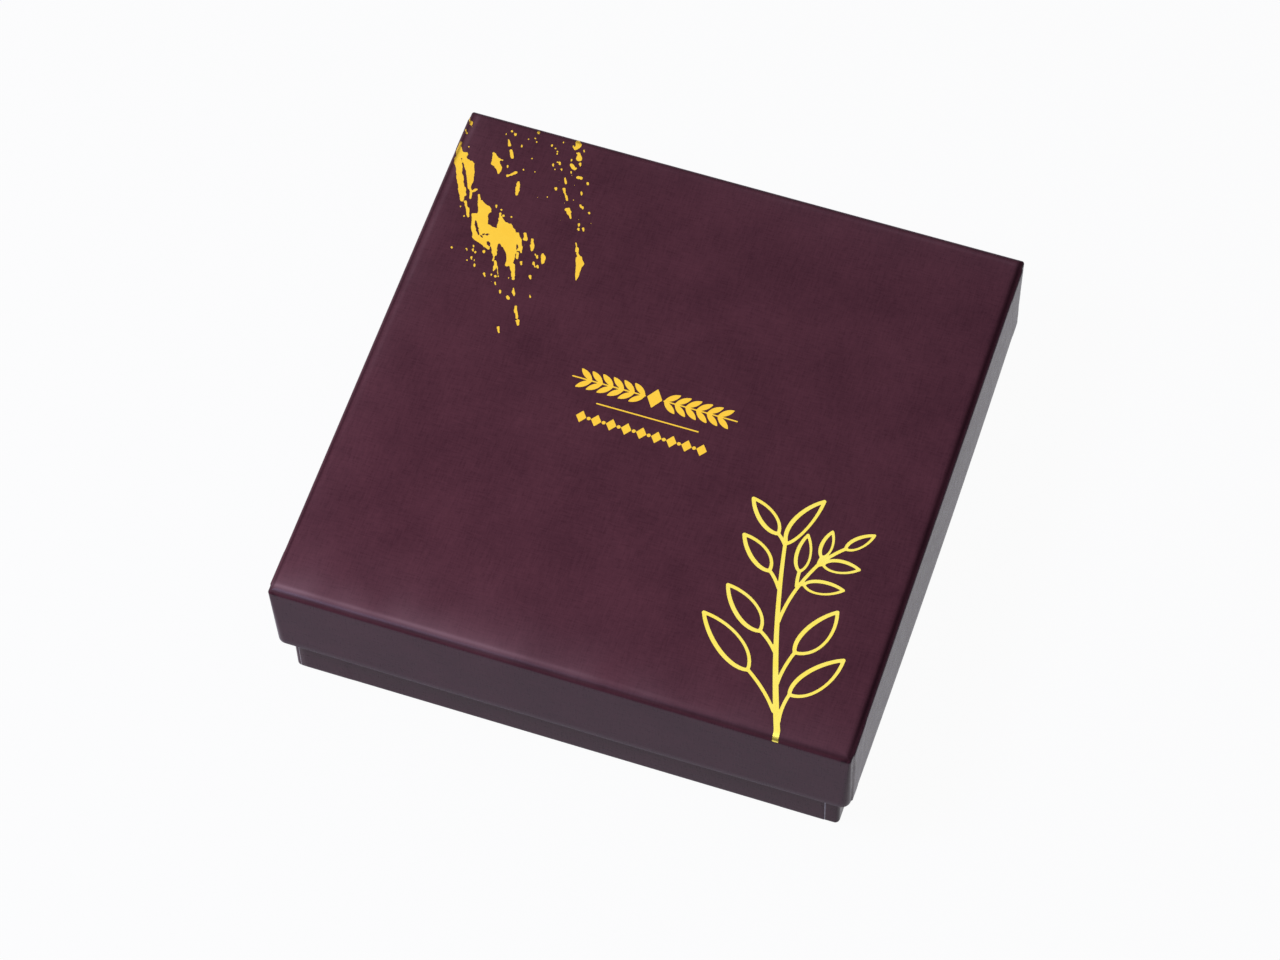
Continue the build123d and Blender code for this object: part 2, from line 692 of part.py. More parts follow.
# One file for each piece
pieces = {
    "base_board": base_board,
    "base_corner_stays": base_corner_stays,
    "base_wrap": base_wrap,
    "base_liner": base_liner,
    "insert_tray": insert_tray,
    "praline_dome": praline_dome,
    "praline_pillow": praline_pillow,
    "praline_truffle": praline_truffle,
    "praline_heart": praline_heart,
    "praline_hazelnut": praline_hazelnut,
    "hazelnut": hazelnut,
    "praline_pyramid": praline_pyramid,
    "praline_oval": praline_oval,
    "praline_almond": praline_almond,
    "almond": almond,
    "praline_cube": praline_cube,
    "cushion_pad": cushion_pad,
    "lid_board": lid_board,
    "lid_corner_stays": lid_corner_stays,
    "lid_wrap": lid_wrap,
    "lid_liner": lid_liner,
    "foil_splash": foil_splash,
    "foil_ornament": foil_ornament,
    "foil_sprig": foil_sprig,
}
for name, piece in pieces.items():
    piece.part.label = name
    export_step(piece.part, f"parts/{name}.step")
    print(name, len(piece.part.solids()), round(piece.part.volume, 1))
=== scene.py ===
import math
import random

import bmesh
import bpy
import numpy as np
from mathutils import Matrix, Vector, noise


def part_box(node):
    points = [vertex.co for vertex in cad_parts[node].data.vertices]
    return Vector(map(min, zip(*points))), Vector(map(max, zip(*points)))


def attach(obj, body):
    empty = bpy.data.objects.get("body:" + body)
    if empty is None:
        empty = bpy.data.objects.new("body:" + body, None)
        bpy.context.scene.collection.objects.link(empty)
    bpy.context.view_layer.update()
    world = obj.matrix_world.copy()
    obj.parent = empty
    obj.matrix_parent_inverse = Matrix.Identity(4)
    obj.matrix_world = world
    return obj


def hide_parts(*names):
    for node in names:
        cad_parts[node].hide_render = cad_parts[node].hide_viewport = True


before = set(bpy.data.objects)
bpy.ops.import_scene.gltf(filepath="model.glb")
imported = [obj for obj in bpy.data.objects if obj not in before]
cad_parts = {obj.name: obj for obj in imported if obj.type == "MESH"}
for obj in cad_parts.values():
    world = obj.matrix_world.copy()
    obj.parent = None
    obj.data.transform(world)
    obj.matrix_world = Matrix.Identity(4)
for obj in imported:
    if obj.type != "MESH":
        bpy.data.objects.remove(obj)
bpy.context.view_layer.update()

# A wrapped rigid box for nine pralines. Lengths in the settings are in millimetres.
mm = 0.001
lidLow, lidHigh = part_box("lid_wrap")
baseLow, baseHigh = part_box("base_wrap")
trayLow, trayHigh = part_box("insert_tray")
padLow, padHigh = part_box("cushion_pad")
print("frame loaded:", len(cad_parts), "nodes")


# Materials


def toLinear(hexColour):
    channels = [int(hexColour[i : i + 2], 16) / 255 for i in (1, 3, 5)]
    linear = [c / 12.92 if c <= 0.04045 else ((c + 0.055) / 1.055) ** 2.4 for c in channels]
    return (*linear, 1.0)


def addNode(tree, kind, settings=None, links=None):
    # a link comes from a socket, or from a node's first output
    node = tree.nodes.new("ShaderNode" + kind)
    for key, value in (settings or {}).items():
        if isinstance(key, str) and hasattr(node, key):
            setattr(node, key, value)
        else:
            node.inputs[key].default_value = value
    for key, source in (links or {}).items():
        tree.links.new(getattr(source, "outputs", [source])[0], node.inputs[key])
    return node


def newMaterial(name):
    # with it come its nodes, and the place of each point on the piece
    material = bpy.data.materials.new(name)
    material.use_nodes = True
    tree = material.node_tree
    tree.nodes.clear()
    return material, tree, addNode(tree, "TexCoord").outputs["Object"]


def finishMaterial(material, tree, surface, colour, height, relief, links=None, invert=False):
    pressed = {"Strength": relief[0], "Distance": relief[1] * mm, "invert": invert}
    bump = addNode(tree, "Bump", pressed, {"Height": height})
    links = {"Base Color": colour, "Normal": bump, **(links or {})}
    shader = addNode(tree, "BsdfPrincipled", surface, links)
    addNode(tree, "OutputMaterial", links={"Surface": shader})
    return material


def mixColours(tree, factor, low, high):
    # a ramp between two hex colours, driven by a 0 to 1 value
    ramp = addNode(tree, "ValToRGB", links={"Fac": factor})
    for element, colour in zip(ramp.color_ramp.elements, (low, high)):
        element.color = toLinear(colour)
    return ramp


def coatedPaper(name, low, high, highlightColour, shadeColour, roughness):
    # Satin coated art paper, matt laminated: little gloss from above, a cool haze from the side and a sheen
    # only at grazing angles. The fibres give a faint cross grain, drawn coarser than it is, to show.
    material, tree, spot = newMaterial(name)
    fibre = {"Scale": 1.0, "Detail": 3.0, "Roughness": 0.6}
    grains = {}
    for i, size in enumerate(((2.6, 0.32, 0.32), (0.32, 2.6, 2.6))):
        grain = addNode(tree, "Mapping", {"Scale": [1 / (s * mm) for s in size]}, {"Vector": spot})
        grains[i] = addNode(tree, "TexNoise", fibre, {"Vector": grain})
    crossed = addNode(tree, "Math", {"operation": "ADD"}, grains)
    clouds = addNode(tree, "TexNoise", {"Scale": 1 / (12 * mm), "Detail": 3.0}, {"Vector": spot})
    blend = addNode(tree, "Math", {"operation": "ADD"}, {0: crossed, 1: clouds})
    spread = addNode(tree, "MapRange", {"From Min": 1.1, "From Max": 1.9}, {"Value": blend})
    # the mesh says where a pale highlight is painted along the folds, and where dark shade is painted in
    # them, which also takes away most of the haze there
    colour = mixColours(tree, spread, low, high)
    for title, other in (("rub", highlightColour), ("crease", shadeColour)):
        share = addNode(tree, "Attribute", {"attribute_name": title}).outputs["Fac"]
        mix = addNode(tree, "Mix", {"data_type": "RGBA", 7: toLinear(other)}, {0: share, 6: colour})
        colour = mix.outputs[2]
    haze = addNode(tree, "MapRange", {"To Min": 0.088, "To Max": 0.02}, {"Value": share})
    ends = {"From Min": 0.7, "From Max": 1.3, "To Min": roughness - 0.03, "To Max": roughness + 0.03}
    surface = {
        "IOR": 1.5, "Specular IOR Level": 0.065, "Specular Tint": toLinear("#C4CCFF"),
        "Sheen Roughness": 0.3, "Sheen Tint": toLinear("#7078FF"),
    }
    links = {"Sheen Weight": haze, "Roughness": addNode(tree, "MapRange", ends, {"Value": crossed})}
    return finishMaterial(material, tree, surface, colour, crossed, (0.12, 0.03), links)


def grainedSurface(name, low, high, size, grain, reach, relief, surface):
    # one noise, size long along X, Y and Z, gives both the colour and the relief
    material, tree, spot = newMaterial(name)
    stretched = addNode(tree, "Mapping", {"Scale": [1 / (s * mm) for s in size]}, {"Vector": spot})
    pulp = addNode(tree, "TexNoise", {"Scale": 1.0, **grain}, {"Vector": stretched})
    spread = addNode(tree, "MapRange", {"From Min": 0.5 - reach, "From Max": 0.5 + reach}, {"Value": pulp})
    return finishMaterial(material, tree, surface, mixColours(tree, spread, low, high), pulp, relief)


def patchedSurface(name, low, high, patches, skin, relief, surface, shine=None):
    # one noise gives the colour and, with shine, the roughness; another gives the relief
    material, tree, spot = newMaterial(name)
    patch = addNode(tree, "TexNoise", patches, {"Vector": spot})
    grain = addNode(tree, "TexNoise", skin, {"Vector": spot})
    links = {}
    if shine:
        ends = dict(zip(("From Min", "From Max", "To Min", "To Max"), shine))
        links["Roughness"] = addNode(tree, "MapRange", ends, {"Value": patch})
    return finishMaterial(material, tree, surface, mixColours(tree, patch, low, high), grain, relief, links)


def embossedGlassine(name, low, high, dots):
    # Glassine: a dense paper with a soft shine, embossed all over with fine dots
    material, tree, spot = newMaterial(name)
    fibres = addNode(tree, "TexNoise", {"Scale": 1 / (4 * mm), "Detail": 4.0}, {"Vector": spot})
    spread = addNode(tree, "MapRange", {"From Min": 0.3, "From Max": 0.7}, {"Value": fibres})
    pattern = addNode(tree, "TexVoronoi", {"Scale": 1 / (dots * mm), "Randomness": 0.0}, {"Vector": spot})
    surface = {"Roughness": 0.40, "IOR": 1.47, "Specular IOR Level": 0.6}
    colour = mixColours(tree, spread, low, high)
    return finishMaterial(material, tree, surface, colour, pattern, (0.5, 0.10), invert=True)


# the last two colours are a painted highlight along the folds and painted shade in them
wrapPaper = coatedPaper("burgundyCoatedPaper", "#3D1E29", "#4D2935", "#7C606E", "#1C0C14", 0.29)

# Uncoated board or paper: pulp pressed flat. Rough, with fibres and flecks.
pulp = {
    "grain": {"Detail": 5, "Roughness": 0.7}, "reach": 0.2, "relief": (0.35, 0.08),
    "surface": {"Roughness": 0.85, "IOR": 1.45},
}
paperCore = grainedSurface("paperCutEdge", "#A79A9E", "#D8D0D2", (0.6, 0.2, 0.2), **pulp)
greyboard = grainedSurface("greyboardPulp", "#8F8A80", "#B0AA9E", (1.5, 0.5, 0.5), **pulp)
kraftPaper = grainedSurface("kraftStayPaper", "#A0784F", "#BE9669", (1.2, 0.4, 0.4), **pulp)
linerPaper = grainedSurface("creamLinerPaper", "#E6DDCB", "#F1EADC", (1.2, 0.4, 0.4), **pulp)

# Cocoa powder: quite matt, grainy, darker where it has soaked up fat
powder = {
    "grain": {"Detail": 5, "Roughness": 0.75}, "reach": 0.15, "relief": (0.7, 0.25),
    "surface": {"Roughness": 0.95, "IOR": 1.45, "Specular IOR Level": 0.2, "Sheen Weight": 0.25},
}
cocoa = grainedSurface("rolledCocoaPowder", "#4C2A1C", "#7A4832", (0.7, 0.7, 0.7), **powder)

# Roasted nut in its skin: papery and half matt, with veins from end to end
nutSkin = {
    "grain": {"Detail": 4, "Roughness": 0.6}, "reach": 0.15, "relief": (0.6, 0.2),
    "surface": {"Roughness": 0.55, "IOR": 1.47},
}
hazelSkin = grainedSurface("roastedHazelnut", "#8A5429", "#BE8A54", (1.1, 1.1, 9.0), **nutSkin)
almondSkin = grainedSurface("roastedAlmond", "#8C5230", "#AE7247", (10.0, 0.9, 0.9), **nutSkin)

# Hot-stamped gold foil. The paper's grain under it breaks the reflection up, so it glows evenly.
foil = ({"Scale": 1 / (3 * mm), "Detail": 3.0}, {"Scale": 1 / (0.3 * mm), "Detail": 2.0}, (0.15, 0.03))
softFoil, brightFoil = [{"Metallic": 0.85, "Roughness": roughness} for roughness in (0.30, 0.26)]
orangeFoil = patchedSurface("orangeGoldFoil", "#FFC93C", "#FFD54A", *foil, softFoil)
# the sprig's copy of the same gold foil, painted paler and yellower: a painted highlight for the brighter
# reflection it shows
paleLitGoldFoil = patchedSurface("goldFoilPaintedPaler", "#FFE64C", "#FFF07C", *foil, brightFoil)

# Vacuum-formed PET, metallised under a clear film and drawn a little unevenly, so that its highlights swim
drawn = {"Scale": 1 / (9 * mm), "Detail": 2.0}
film = {"Metallic": 1.0, "Coat Weight": 0.35, "Coat Roughness": 0.08}
swim = (0.3, 0.7, 0.20, 0.32)
goldSheet = patchedSurface("goldFormedPet", "#C8984A", "#DDB566", drawn, drawn, (0.25, 0.12), film, swim)
glassine = embossedGlassine("brownEmbossedGlassine", "#43261B", "#583426", 1.3)


def temperedChocolate(name, low, high, roughness, depth):
    # Tempered chocolate from a polished mould: glossy, with a faint fat bloom in patches. Light goes a little
    # way in, most of all in white chocolate.
    bloom = {"Scale": 1 / (5 * mm), "Detail": 4.0, "Roughness": 0.6}
    skin = {"Scale": 1 / (0.9 * mm), "Detail": 2.0}
    surface = {"IOR": 1.47, "Subsurface Weight": depth, "Subsurface Scale": 0.6 * mm}
    surface["Subsurface Radius"] = (1.0, 0.6, 0.35)
    shine = (0.35, 0.65, roughness - 0.06, roughness + 0.08)
    return patchedSurface(name, low, high, bloom, skin, (0.12, 0.05), surface, shine)


darkChocolate = temperedChocolate("temperedDarkChocolate", "#2B1510", "#371B13", 0.30, 0.03)
milkChocolate = temperedChocolate("temperedMilkChocolate", "#693920", "#7A4629", 0.32, 0.06)
whiteChocolate = temperedChocolate("temperedWhiteChocolate", "#EAD9AE", "#F4E7C4", 0.34, 0.20)
print("materials made")


# Pieces and meshes


def addObject(name, data):
    added = bpy.data.objects.new(name, data)
    bpy.context.scene.collection.objects.link(added)
    return added


def makePiece(name, points, faces, materials, body, node, faceMaterials=None, smooth=True):
    mesh = bpy.data.meshes.new(name)
    mesh.from_pydata(points, [], faces)
    for material in materials:
        mesh.materials.append(material)
    if faceMaterials is not None:
        mesh.polygons.foreach_set("material_index", faceMaterials)
    mesh.polygons.foreach_set("use_smooth", [smooth] * len(faces))
    mesh.update()
    piece = addObject(name, mesh)
    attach(piece, body)
    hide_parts(node)
    return piece


def faceOutward(piece):
    work = bmesh.new()
    work.from_mesh(piece.data)
    bmesh.ops.recalc_face_normals(work, faces=work.faces)
    work.to_mesh(piece.data)
    work.free()


def thickenInward(piece, thickness):
    thicken = piece.modifiers.new("sheetThickness", "SOLIDIFY")
    thicken.thickness = thickness * mm
    thicken.offset = -1.0


def wave(x, y, seed, size):
    # smooth noise from about -1 to 1 with that size of feature, in millimetres
    return noise.noise(Vector((x / size + seed, y / size - seed, seed * 1.7)))


def smoothStep(value, low, high):
    share = min(1.0, max(0.0, (value - low) / (high - low)))
    return share * share * (3 - 2 * share)


def quarterTurn(turns, x, y):
    # a point turned anticlockwise about the middle; clockwise where turns is negative
    return ((x, y), (-y, x), (-x, -y), (y, -x))[turns]


def quarterArc(count, first=0):
    # sine and cosine at even steps over a quarter circle
    angles = [i / count * math.pi / 2 for i in range(first, count + 1)]
    return [(math.sin(angle), math.cos(angle)) for angle in angles]


def ringFaces(outside, inside):
    return [(outside[i - 1], outside[i], inside[i], inside[i - 1]) for i in range(len(outside))]


def gridFaces(grid, count):
    cells = [(i, j) for i in range(count) for j in range(count)]
    return [(grid[i, j], grid[i + 1, j], grid[i + 1, j + 1], grid[i, j + 1]) for i, j in cells]


# The two wrapped shells. Two opposite walls of each end in flaps, laid over the ears of the other two.
wall = 2.0  # wrapped board: paper, greyboard, paper
paper = 0.25
wrapping = {
    "seamStep": 0.11,  # half the run of the step at a flap's cut edge
    "earStep": 0.5, "leastCorner": 0.18, "fineStop": 0.5, "coarseStop": 3,
    "fineEnd": 16,  # rows of points are fine from here to the corner
    "crushRun": 1.5,
    # where unevenness starts and is full: in from the fold, along a wall, and down it
    "faceCalm": (0, 6), "wallCalm": (1, 14), "foldCalm": (0.5, 5), "faceWaves": 34,
    "wallWaves": 26, "highlightWaves": 7, "shadeWaves": 9, "highlightStart": 2, "highlightRun": 5,
    "highlightLine": (1.8, 0.4),  # where the painted highlight line lies, in from the side, and its spread
    "highlightDepth": (0.4, 0.85),  # the painted highlight ends here, down over the fold
}
lidWrap = {
    "halfSide": (lidHigh.x - lidLow.x) / 2 / mm, "depth": (lidHigh.z - lidLow.z) / mm,
    "closedZ": lidHigh.z / mm, "opens": -1, "foldRadius": 1.25,
    "foldAcross": 2.2,  # the fold is an ellipse: it starts this far in
    "cornerTop": 0.5, "cornerRim": 1.9, "rimRadius": 0.45, "turnIn": 15,
    "flapsOn": (0, 2),  # sides are +X, +Y, -X, -Y
    "flapIn": (2.1, 2.1),  # cut edge to corner, on the left and right as one faces that side
    "flapLift": 0.22,
    "earEnd": (10, 5.5),  # end of the ear under the flap, from the corner, at the fold and at the rim
    "earLift": 0.07, "crown": 0.22, "edgeDrop": 0.06, "faceWave": 0.10, "wallWave": 0.035,
    "wallBow": (0.45, 0.15, 0.15, 0.15),  # how far each side stands out at the middle of its rim
    "seamGroove": 0.2, "paleSeams": False,
    # how pale a highlight is painted along each fold, over a wide run and in a line
    "rub": ((0, 0), (0.05, 0.1), (0.08, 0.15), (0.32, 0.45)),
    # how dark shade is painted along each fold, how far in, and how broad
    "creases": ((0.9, 0.3, 0.75), (0.6, 0.3, 0.4), (0.6, 0.3, 0.4), (0.65, 0.2, 0.7)), "seed": 3.1,
}
baseWrap = {
    "halfSide": (baseHigh.x - baseLow.x) / 2 / mm, "depth": (baseHigh.z - baseLow.z) / mm,
    "closedZ": baseLow.z / mm, "opens": 1, "foldRadius": 0.8, "foldAcross": 0.8,
    "cornerTop": 1, "cornerRim": 1.1, "rimRadius": 0.4, "turnIn": 18, "flapsOn": (1, 3),
    "flapIn": (1.15, 3), "flapLift": 0.12, "earEnd": (12, 9), "earLift": 0.04,
    "crown": 0, "edgeDrop": 0, "faceWave": 0, "wallWave": 0.05, "wallBow": (0,) * 4,
    "seamGroove": 0, "paleSeams": True, "rub": ((0, 0),) * 4,
    # shade painted along the base's folds too
    "creases": ((0.3, -0.3, 0.4),) * 4, "seed": 8.4,
}


def surfaceLift(shell, x, y):
    # how far the closed face stands out from flat; it is crushed a little along its edge
    half = shell["halfSide"]
    edge = half - max(abs(x), abs(y)) - shell["foldAcross"]
    crown = shell["crown"] * (1 - (x / half) ** 2) * (1 - (y / half) ** 2)
    crushed = shell["edgeDrop"] * math.exp(-max(0.0, edge) / wrapping["crushRun"])
    uneven = smoothStep(edge, *wrapping["faceCalm"]) * wave(x, y, shell["seed"], wrapping["faceWaves"])
    return crown - crushed + shell["faceWave"] * uneven


def sideStops(shell):
    # places along a side, from its middle; closest at the seams
    half, fine, coarse = shell["halfSide"], wrapping["fineStop"], wrapping["coarseStop"]
    reach = half - shell["cornerRim"]
    places = [half - i * fine for i in range(5, round(wrapping["fineEnd"] / fine))]
    places += [i * coarse for i in range(int((half - wrapping["fineEnd"]) / coarse) + 1)]
    stops = {round(sign * min(place, reach), 4) for place in places for sign in (-1, 1)}
    for seam, sign in zip(shell["flapIn"], (-1, 1)):
        for shift in (-wrapping["seamStep"], 0.0, wrapping["seamStep"]):
            stops.add(round(sign * min(half - seam + shift, reach), 4))
    return sorted(stops)


def wrapProfile(shell):
    # run of (inset, depth, tag) over the fold, down the wall, round the rim, up inside, and back behind the
    # paper to the underside of the closed face
    fold, across, rim = shell["foldRadius"], shell["foldAcross"], shell["rimRadius"]
    depth, turnIn = shell["depth"], shell["turnIn"]
    behind = depth - paper - 0.1
    return [
        *[(across * (1 - s), fold * (1 - c), "outer") for s, c in quarterArc(12)],
        *[(0.0, fold + down, "outer") for down in (0.5, 1.0)],
        *[(0.0, fold + (depth - rim - fold) * i / 12, "outer") for i in range(1, 12)],
        *[(rim * (1 - c), depth - rim + rim * s, "rim") for s, c in quarterArc(5)],
        *[(wall - rim * (1 - s), depth - rim * (1 - c), "rim") for s, c in quarterArc(4)],
        *[(wall, depth - rim - (turnIn - rim) * i / 4, "inner") for i in range(1, 5)],
        (wall - paper, depth - turnIn, "inner"),
        (wall - paper, behind, "back"),
        (paper, behind, "back"),
        (paper, fold, "back"),
        (fold, paper, "back"),
    ]


def flapLift(shell, side, along, depth):
    # outward step of the flap over the ears, and of the ears' ends under it
    if side not in shell["flapsOn"]:
        return 0.0
    step, (left, right) = wrapping["seamStep"], shell["flapIn"]
    fromLeft, fromRight = shell["halfSide"] + along, shell["halfSide"] - along
    laid = smoothStep(fromLeft, left - step, left + step)
    laid *= smoothStep(fromRight, right - step, right + step)
    down = smoothStep(depth, 0.0, shell["foldRadius"] * 1.2)
    share = min(1.0, depth / shell["depth"])
    ear = shell["earEnd"][0] + (shell["earEnd"][1] - shell["earEnd"][0]) * share
    soft = wrapping["earStep"]
    under = 1 - smoothStep(min(fromLeft, fromRight), ear - soft, ear + soft)
    # the film is creased along the cut edge, most of all near the fold
    gap = min(abs(fromLeft - left), abs(fromRight - right))
    groove = shell["seamGroove"] * (1 - smoothStep(gap, 0.02, step)) * (1 - smoothStep(share, 0.3, 0.7))
    return down * (laid * (shell["flapLift"] + shell["earLift"] * (under - 1)) - groove)


def ringPoints(shell, inset, depth, stops, tag):
    # one level of the wrap, anticlockwise: four sides with a rounded corner after each
    half = shell["halfSide"]
    share = min(1.0, max(0.0, depth / shell["depth"]))
    fade = 1 - min(1.0, inset / wall)
    corner = shell["cornerTop"] + (shell["cornerRim"] - shell["cornerTop"]) * share
    radius = max(corner - inset, wrapping["leastCorner"])
    straight = half - inset - radius
    points = []
    for side in range(4):
        for stop in stops:
            along = stop / (half - shell["cornerRim"]) * straight
            out = half - inset
            if tag in ("outer", "rim"):
                out += flapLift(shell, side, along, depth) * fade
                calm = smoothStep(half - abs(along), *wrapping["wallCalm"])
                calm *= smoothStep(depth, *wrapping["foldCalm"])
                uneven = wave(along + 90 * side, depth, shell["seed"], wrapping["wallWaves"])
                out += shell["wallWave"] * calm * uneven
                out += shell["wallBow"][side] * (1 - (along / half) ** 2) * share * fade
            points.append(quarterTurn(side, out, along))
        for s, c in quarterArc(8)[1:8]:
            points.append(quarterTurn(side, straight + radius * c, straight + radius * s))
    return points


# painted highlight: how pale the paper is painted along each fold, over a wide run and in a line, fading
# along the side and down the fold
def paintedHighlightAt(shell, x, y, depth):
    half, total = shell["halfSide"], 0.0
    for side, (wide, line) in enumerate(shell["rub"]):
        out, along = quarterTurn(-side, x, y)
        inward, along = half - out, (half + along) / (2 * half)
        run = max(0.0, inward - wrapping["highlightStart"]) / wrapping["highlightRun"]
        middle, spread = wrapping["highlightLine"]
        total += wide * (1 - 0.5 * smoothStep(along, 0.3, 0.7)) * math.exp(-run)
        total += line * (1 - smoothStep(along, 0.05, 0.9)) * math.exp(-(((inward - middle) / spread) ** 2))
    highlightPatchiness = 0.8 + 0.4 * wave(x, y, shell["seed"] + 4, wrapping["highlightWaves"])
    return max(0.0, total * highlightPatchiness * (1 - smoothStep(depth, *wrapping["highlightDepth"])))


# painted shade: how dark the paper is painted on each fold, the darkest side counting, a little patchy
def paintedShadeAt(shell, x, y, depth):
    most = 0.0
    for side, (amount, middle, spread) in enumerate(shell["creases"]):
        inward = shell["halfSide"] - quarterTurn(-side, x, y)[0]
        if inward < shell["foldAcross"]:
            most = max(most, amount * math.exp(-(((inward - depth - middle) / spread) ** 2)))
    return most * (0.9 + 0.25 * wave(x, y, shell["seed"] + 9, wrapping["shadeWaves"]))


def buildWrap(name, shell, body, node):
    stops, profile = sideStops(shell), wrapProfile(shell)
    half, perSide = shell["halfSide"], len(stops) + 7
    ringSize = 4 * perSide
    points, faces, kinds = [], [], []

    def place(x, y, depth, lift):
        z = shell["closedZ"] + shell["opens"] * (depth - lift)
        points.append((x * mm, y * mm, z * mm))

    for inset, depth, tag in profile:
        fade = max(0.0, 1 - depth / shell["foldRadius"]) if tag == "outer" else 0.0
        for x, y in ringPoints(shell, inset, depth, stops, tag):
            place(x, y, depth, fade * surfaceLift(shell, x, y))
    for level, ((_, depth, tag), (_, nextDepth, _)) in enumerate(zip(profile, profile[1:])):
        low, high = level * ringSize, (level + 1) * ringSize
        seamShows = shell["paleSeams"] and tag in ("outer", "rim") and depth > 0.3
        for i in range(ringSize):
            j = (i + 1) % ringSize
            faces.append((low + i, low + j, high + j, high + i))
            # the paper's cut edges are pale
            pale = tag == "inner" and nextDepth == depth
            side, stop = divmod(i, perSide)
            if seamShows and side in shell["flapsOn"] and stop < len(stops) - 1:
                middle = (stops[stop] + stops[stop + 1]) / 2
                left, right = shell["flapIn"]
                pale = min(abs(half + middle - left), abs(half - middle - right)) < 0.1
            kinds.append(int(pale))

    def closeFace(level, depth, lifted):
        # a square grid with that ring as its border, and its corners in the middle of the rounded ones
        start, n, grid = level * ringSize, perSide, {}
        border = [start + (len(stops) + 3 + i) % ringSize for i in range(ringSize + 1)]
        bottom, right = border[: n + 1], border[n : 2 * n + 1]
        top, left = border[3 * n : 2 * n - 1 : -1], border[4 * n : 3 * n - 1 : -1]
        for i in range(n + 1):
            grid[i, 0], grid[i, n], grid[0, i], grid[n, i] = bottom[i], top[i], left[i], right[i]
        for i in range(1, n):
            for j in range(1, n):
                # spacing follows the border's own stops
                x = (points[bottom[i]][0] * (n - j) + points[top[i]][0] * j) / n / mm
                y = (points[left[j]][1] * (n - i) + points[right[j]][1] * i) / n / mm
                grid[i, j] = len(points)
                place(x, y, depth, surfaceLift(shell, x, y) if lifted else 0.0)
        faces.extend(gridFaces(grid, n))
        kinds.extend([0] * n * n)

    closeFace(0, 0.0, True)
    closeFace(len(profile) - 1, paper, False)
    piece = makePiece(name, points, faces, [wrapPaper, paperCore], body, node, kinds)
    faceOutward(piece)
    # the painted highlight and painted shade, kept at each point of the wrap for its material
    for title, valueAt in (("rub", paintedHighlightAt), ("crease", paintedShadeAt)):
        layer = piece.data.attributes.new(title, "FLOAT", "POINT")
        for vertex, entry in zip(piece.data.vertices, layer.data):
            x, y, z = vertex.co / mm
            entry.value = valueAt(shell, x, y, max(0.0, shell["opens"] * (z - shell["closedZ"])))


buildWrap("lid_paper_wrap", lidWrap, "lid", "lid_wrap")
buildWrap("base_paper_wrap", baseWrap, "base", "base_wrap")
print("wrapped shells made")


# Foil on the lid. Each design is a field, above zero where there is foil, and its outline is followed cell
# by cell.
foilSheet = {"rise": 0.05, "thickness": 0.035}


def lidPoint(x, y):
    # a point of the foil over the unrolled paper; past the flat face it goes over the fold
    fold, across, rise = lidWrap["foldRadius"], lidWrap["foldAcross"], foilSheet["rise"]
    flat = lidWrap["halfSide"] - across
    foldLength = math.pi / 2 * math.sqrt((fold * fold + across * across) / 2)
    top, lift, place = lidHigh.z / mm, surfaceLift(lidWrap, x, y), [x, y]
    for axis in (0, 1):
        over = abs(place[axis]) - flat
        if over > 0:
            angle = min(over / foldLength, 1.0) * math.pi / 2
            out = Vector((math.sin(angle) / across, math.cos(angle) / fold)).normalized() * rise
            place[axis] = math.copysign(flat + across * math.sin(angle) + out.x, place[axis])
            drop = fold * (1 - math.cos(angle)) + max(0.0, over - foldLength)
            z = top - drop + out.y + lift * max(0.0, 1 - drop / fold)
            return (place[0] * mm, place[1] * mm, z * mm)
    return (x * mm, y * mm, (top + lift + rise) * mm)


def stampFoil(node, field, design, material):
    left, right, front, back = design["area"]
    cell = design["cell"]
    xs, ys = np.arange(left, right + cell, cell), np.arange(front, back + cell, cell)
    values = field(*np.meshgrid(xs, ys, indexing="ij"))
    points, faces, index = [], [], {}

    def pointOn(here, after):
        # a point of the grid, or where the outline crosses between two of them
        key = (i, j), (k, m) = tuple(sorted((here, after)))
        if key not in index:
            share = 0.0
            if here != after:
                share = min(0.98, max(0.02, values[i, j] / (values[i, j] - values[k, m])))
            index[key] = len(points)
            points.append(lidPoint(xs[i] + (xs[k] - xs[i]) * share, ys[j] + (ys[m] - ys[j]) * share))
        return index[key]

    inside = values > 0
    some = inside[:-1, :-1] | inside[1:, :-1] | inside[1:, 1:] | inside[:-1, 1:]
    for i, j in zip(*np.nonzero(some)):
        square = [(i, j), (i + 1, j), (i + 1, j + 1), (i, j + 1)]
        outline = []
        for here, after in zip(square, square[1:] + square[:1]):
            if inside[here]:
                outline.append(pointOn(here, here))
            if inside[here] != inside[after]:
                outline.append(pointOn(here, after))
        if len(outline) >= 3:
            faces.append(tuple(outline))
    piece = makePiece(node + "_stamped", points, faces, [material], "lid", node, smooth=False)
    thickenInward(piece, foilSheet["thickness"])


def strokeField(xs, ys, strokes):
    # strokes are lists of (x, y, half width); the field is the depth inside the nearest stroke
    field = np.full(xs.shape, -9.0)
    for stroke in strokes:
        for (ax, ay, aw), (bx, by, bw) in zip(stroke[:-1], stroke[1:]):
            runX, runY = bx - ax, by - ay
            length = runX * runX + runY * runY + 1e-9
            share = np.clip(((xs - ax) * runX + (ys - ay) * runY) / length, 0, 1)
            away = np.hypot(xs - ax - runX * share, ys - ay - runY * share)
            field = np.maximum(field, aw + (bw - aw) * share - away)
    return field


def bezier(a, b, c, d, count=14):
    run = []
    for t in [i / count for i in range(count + 1)]:
        s = 1 - t
        weights = (s * s * s, 3 * s * s * t, 3 * s * t * t, t * t * t)
        x, y = [sum(w * p[axis] for w, p in zip(weights, (a, b, c, d))) for axis in (0, 1)]
        run.append((x, y, t))
    return run


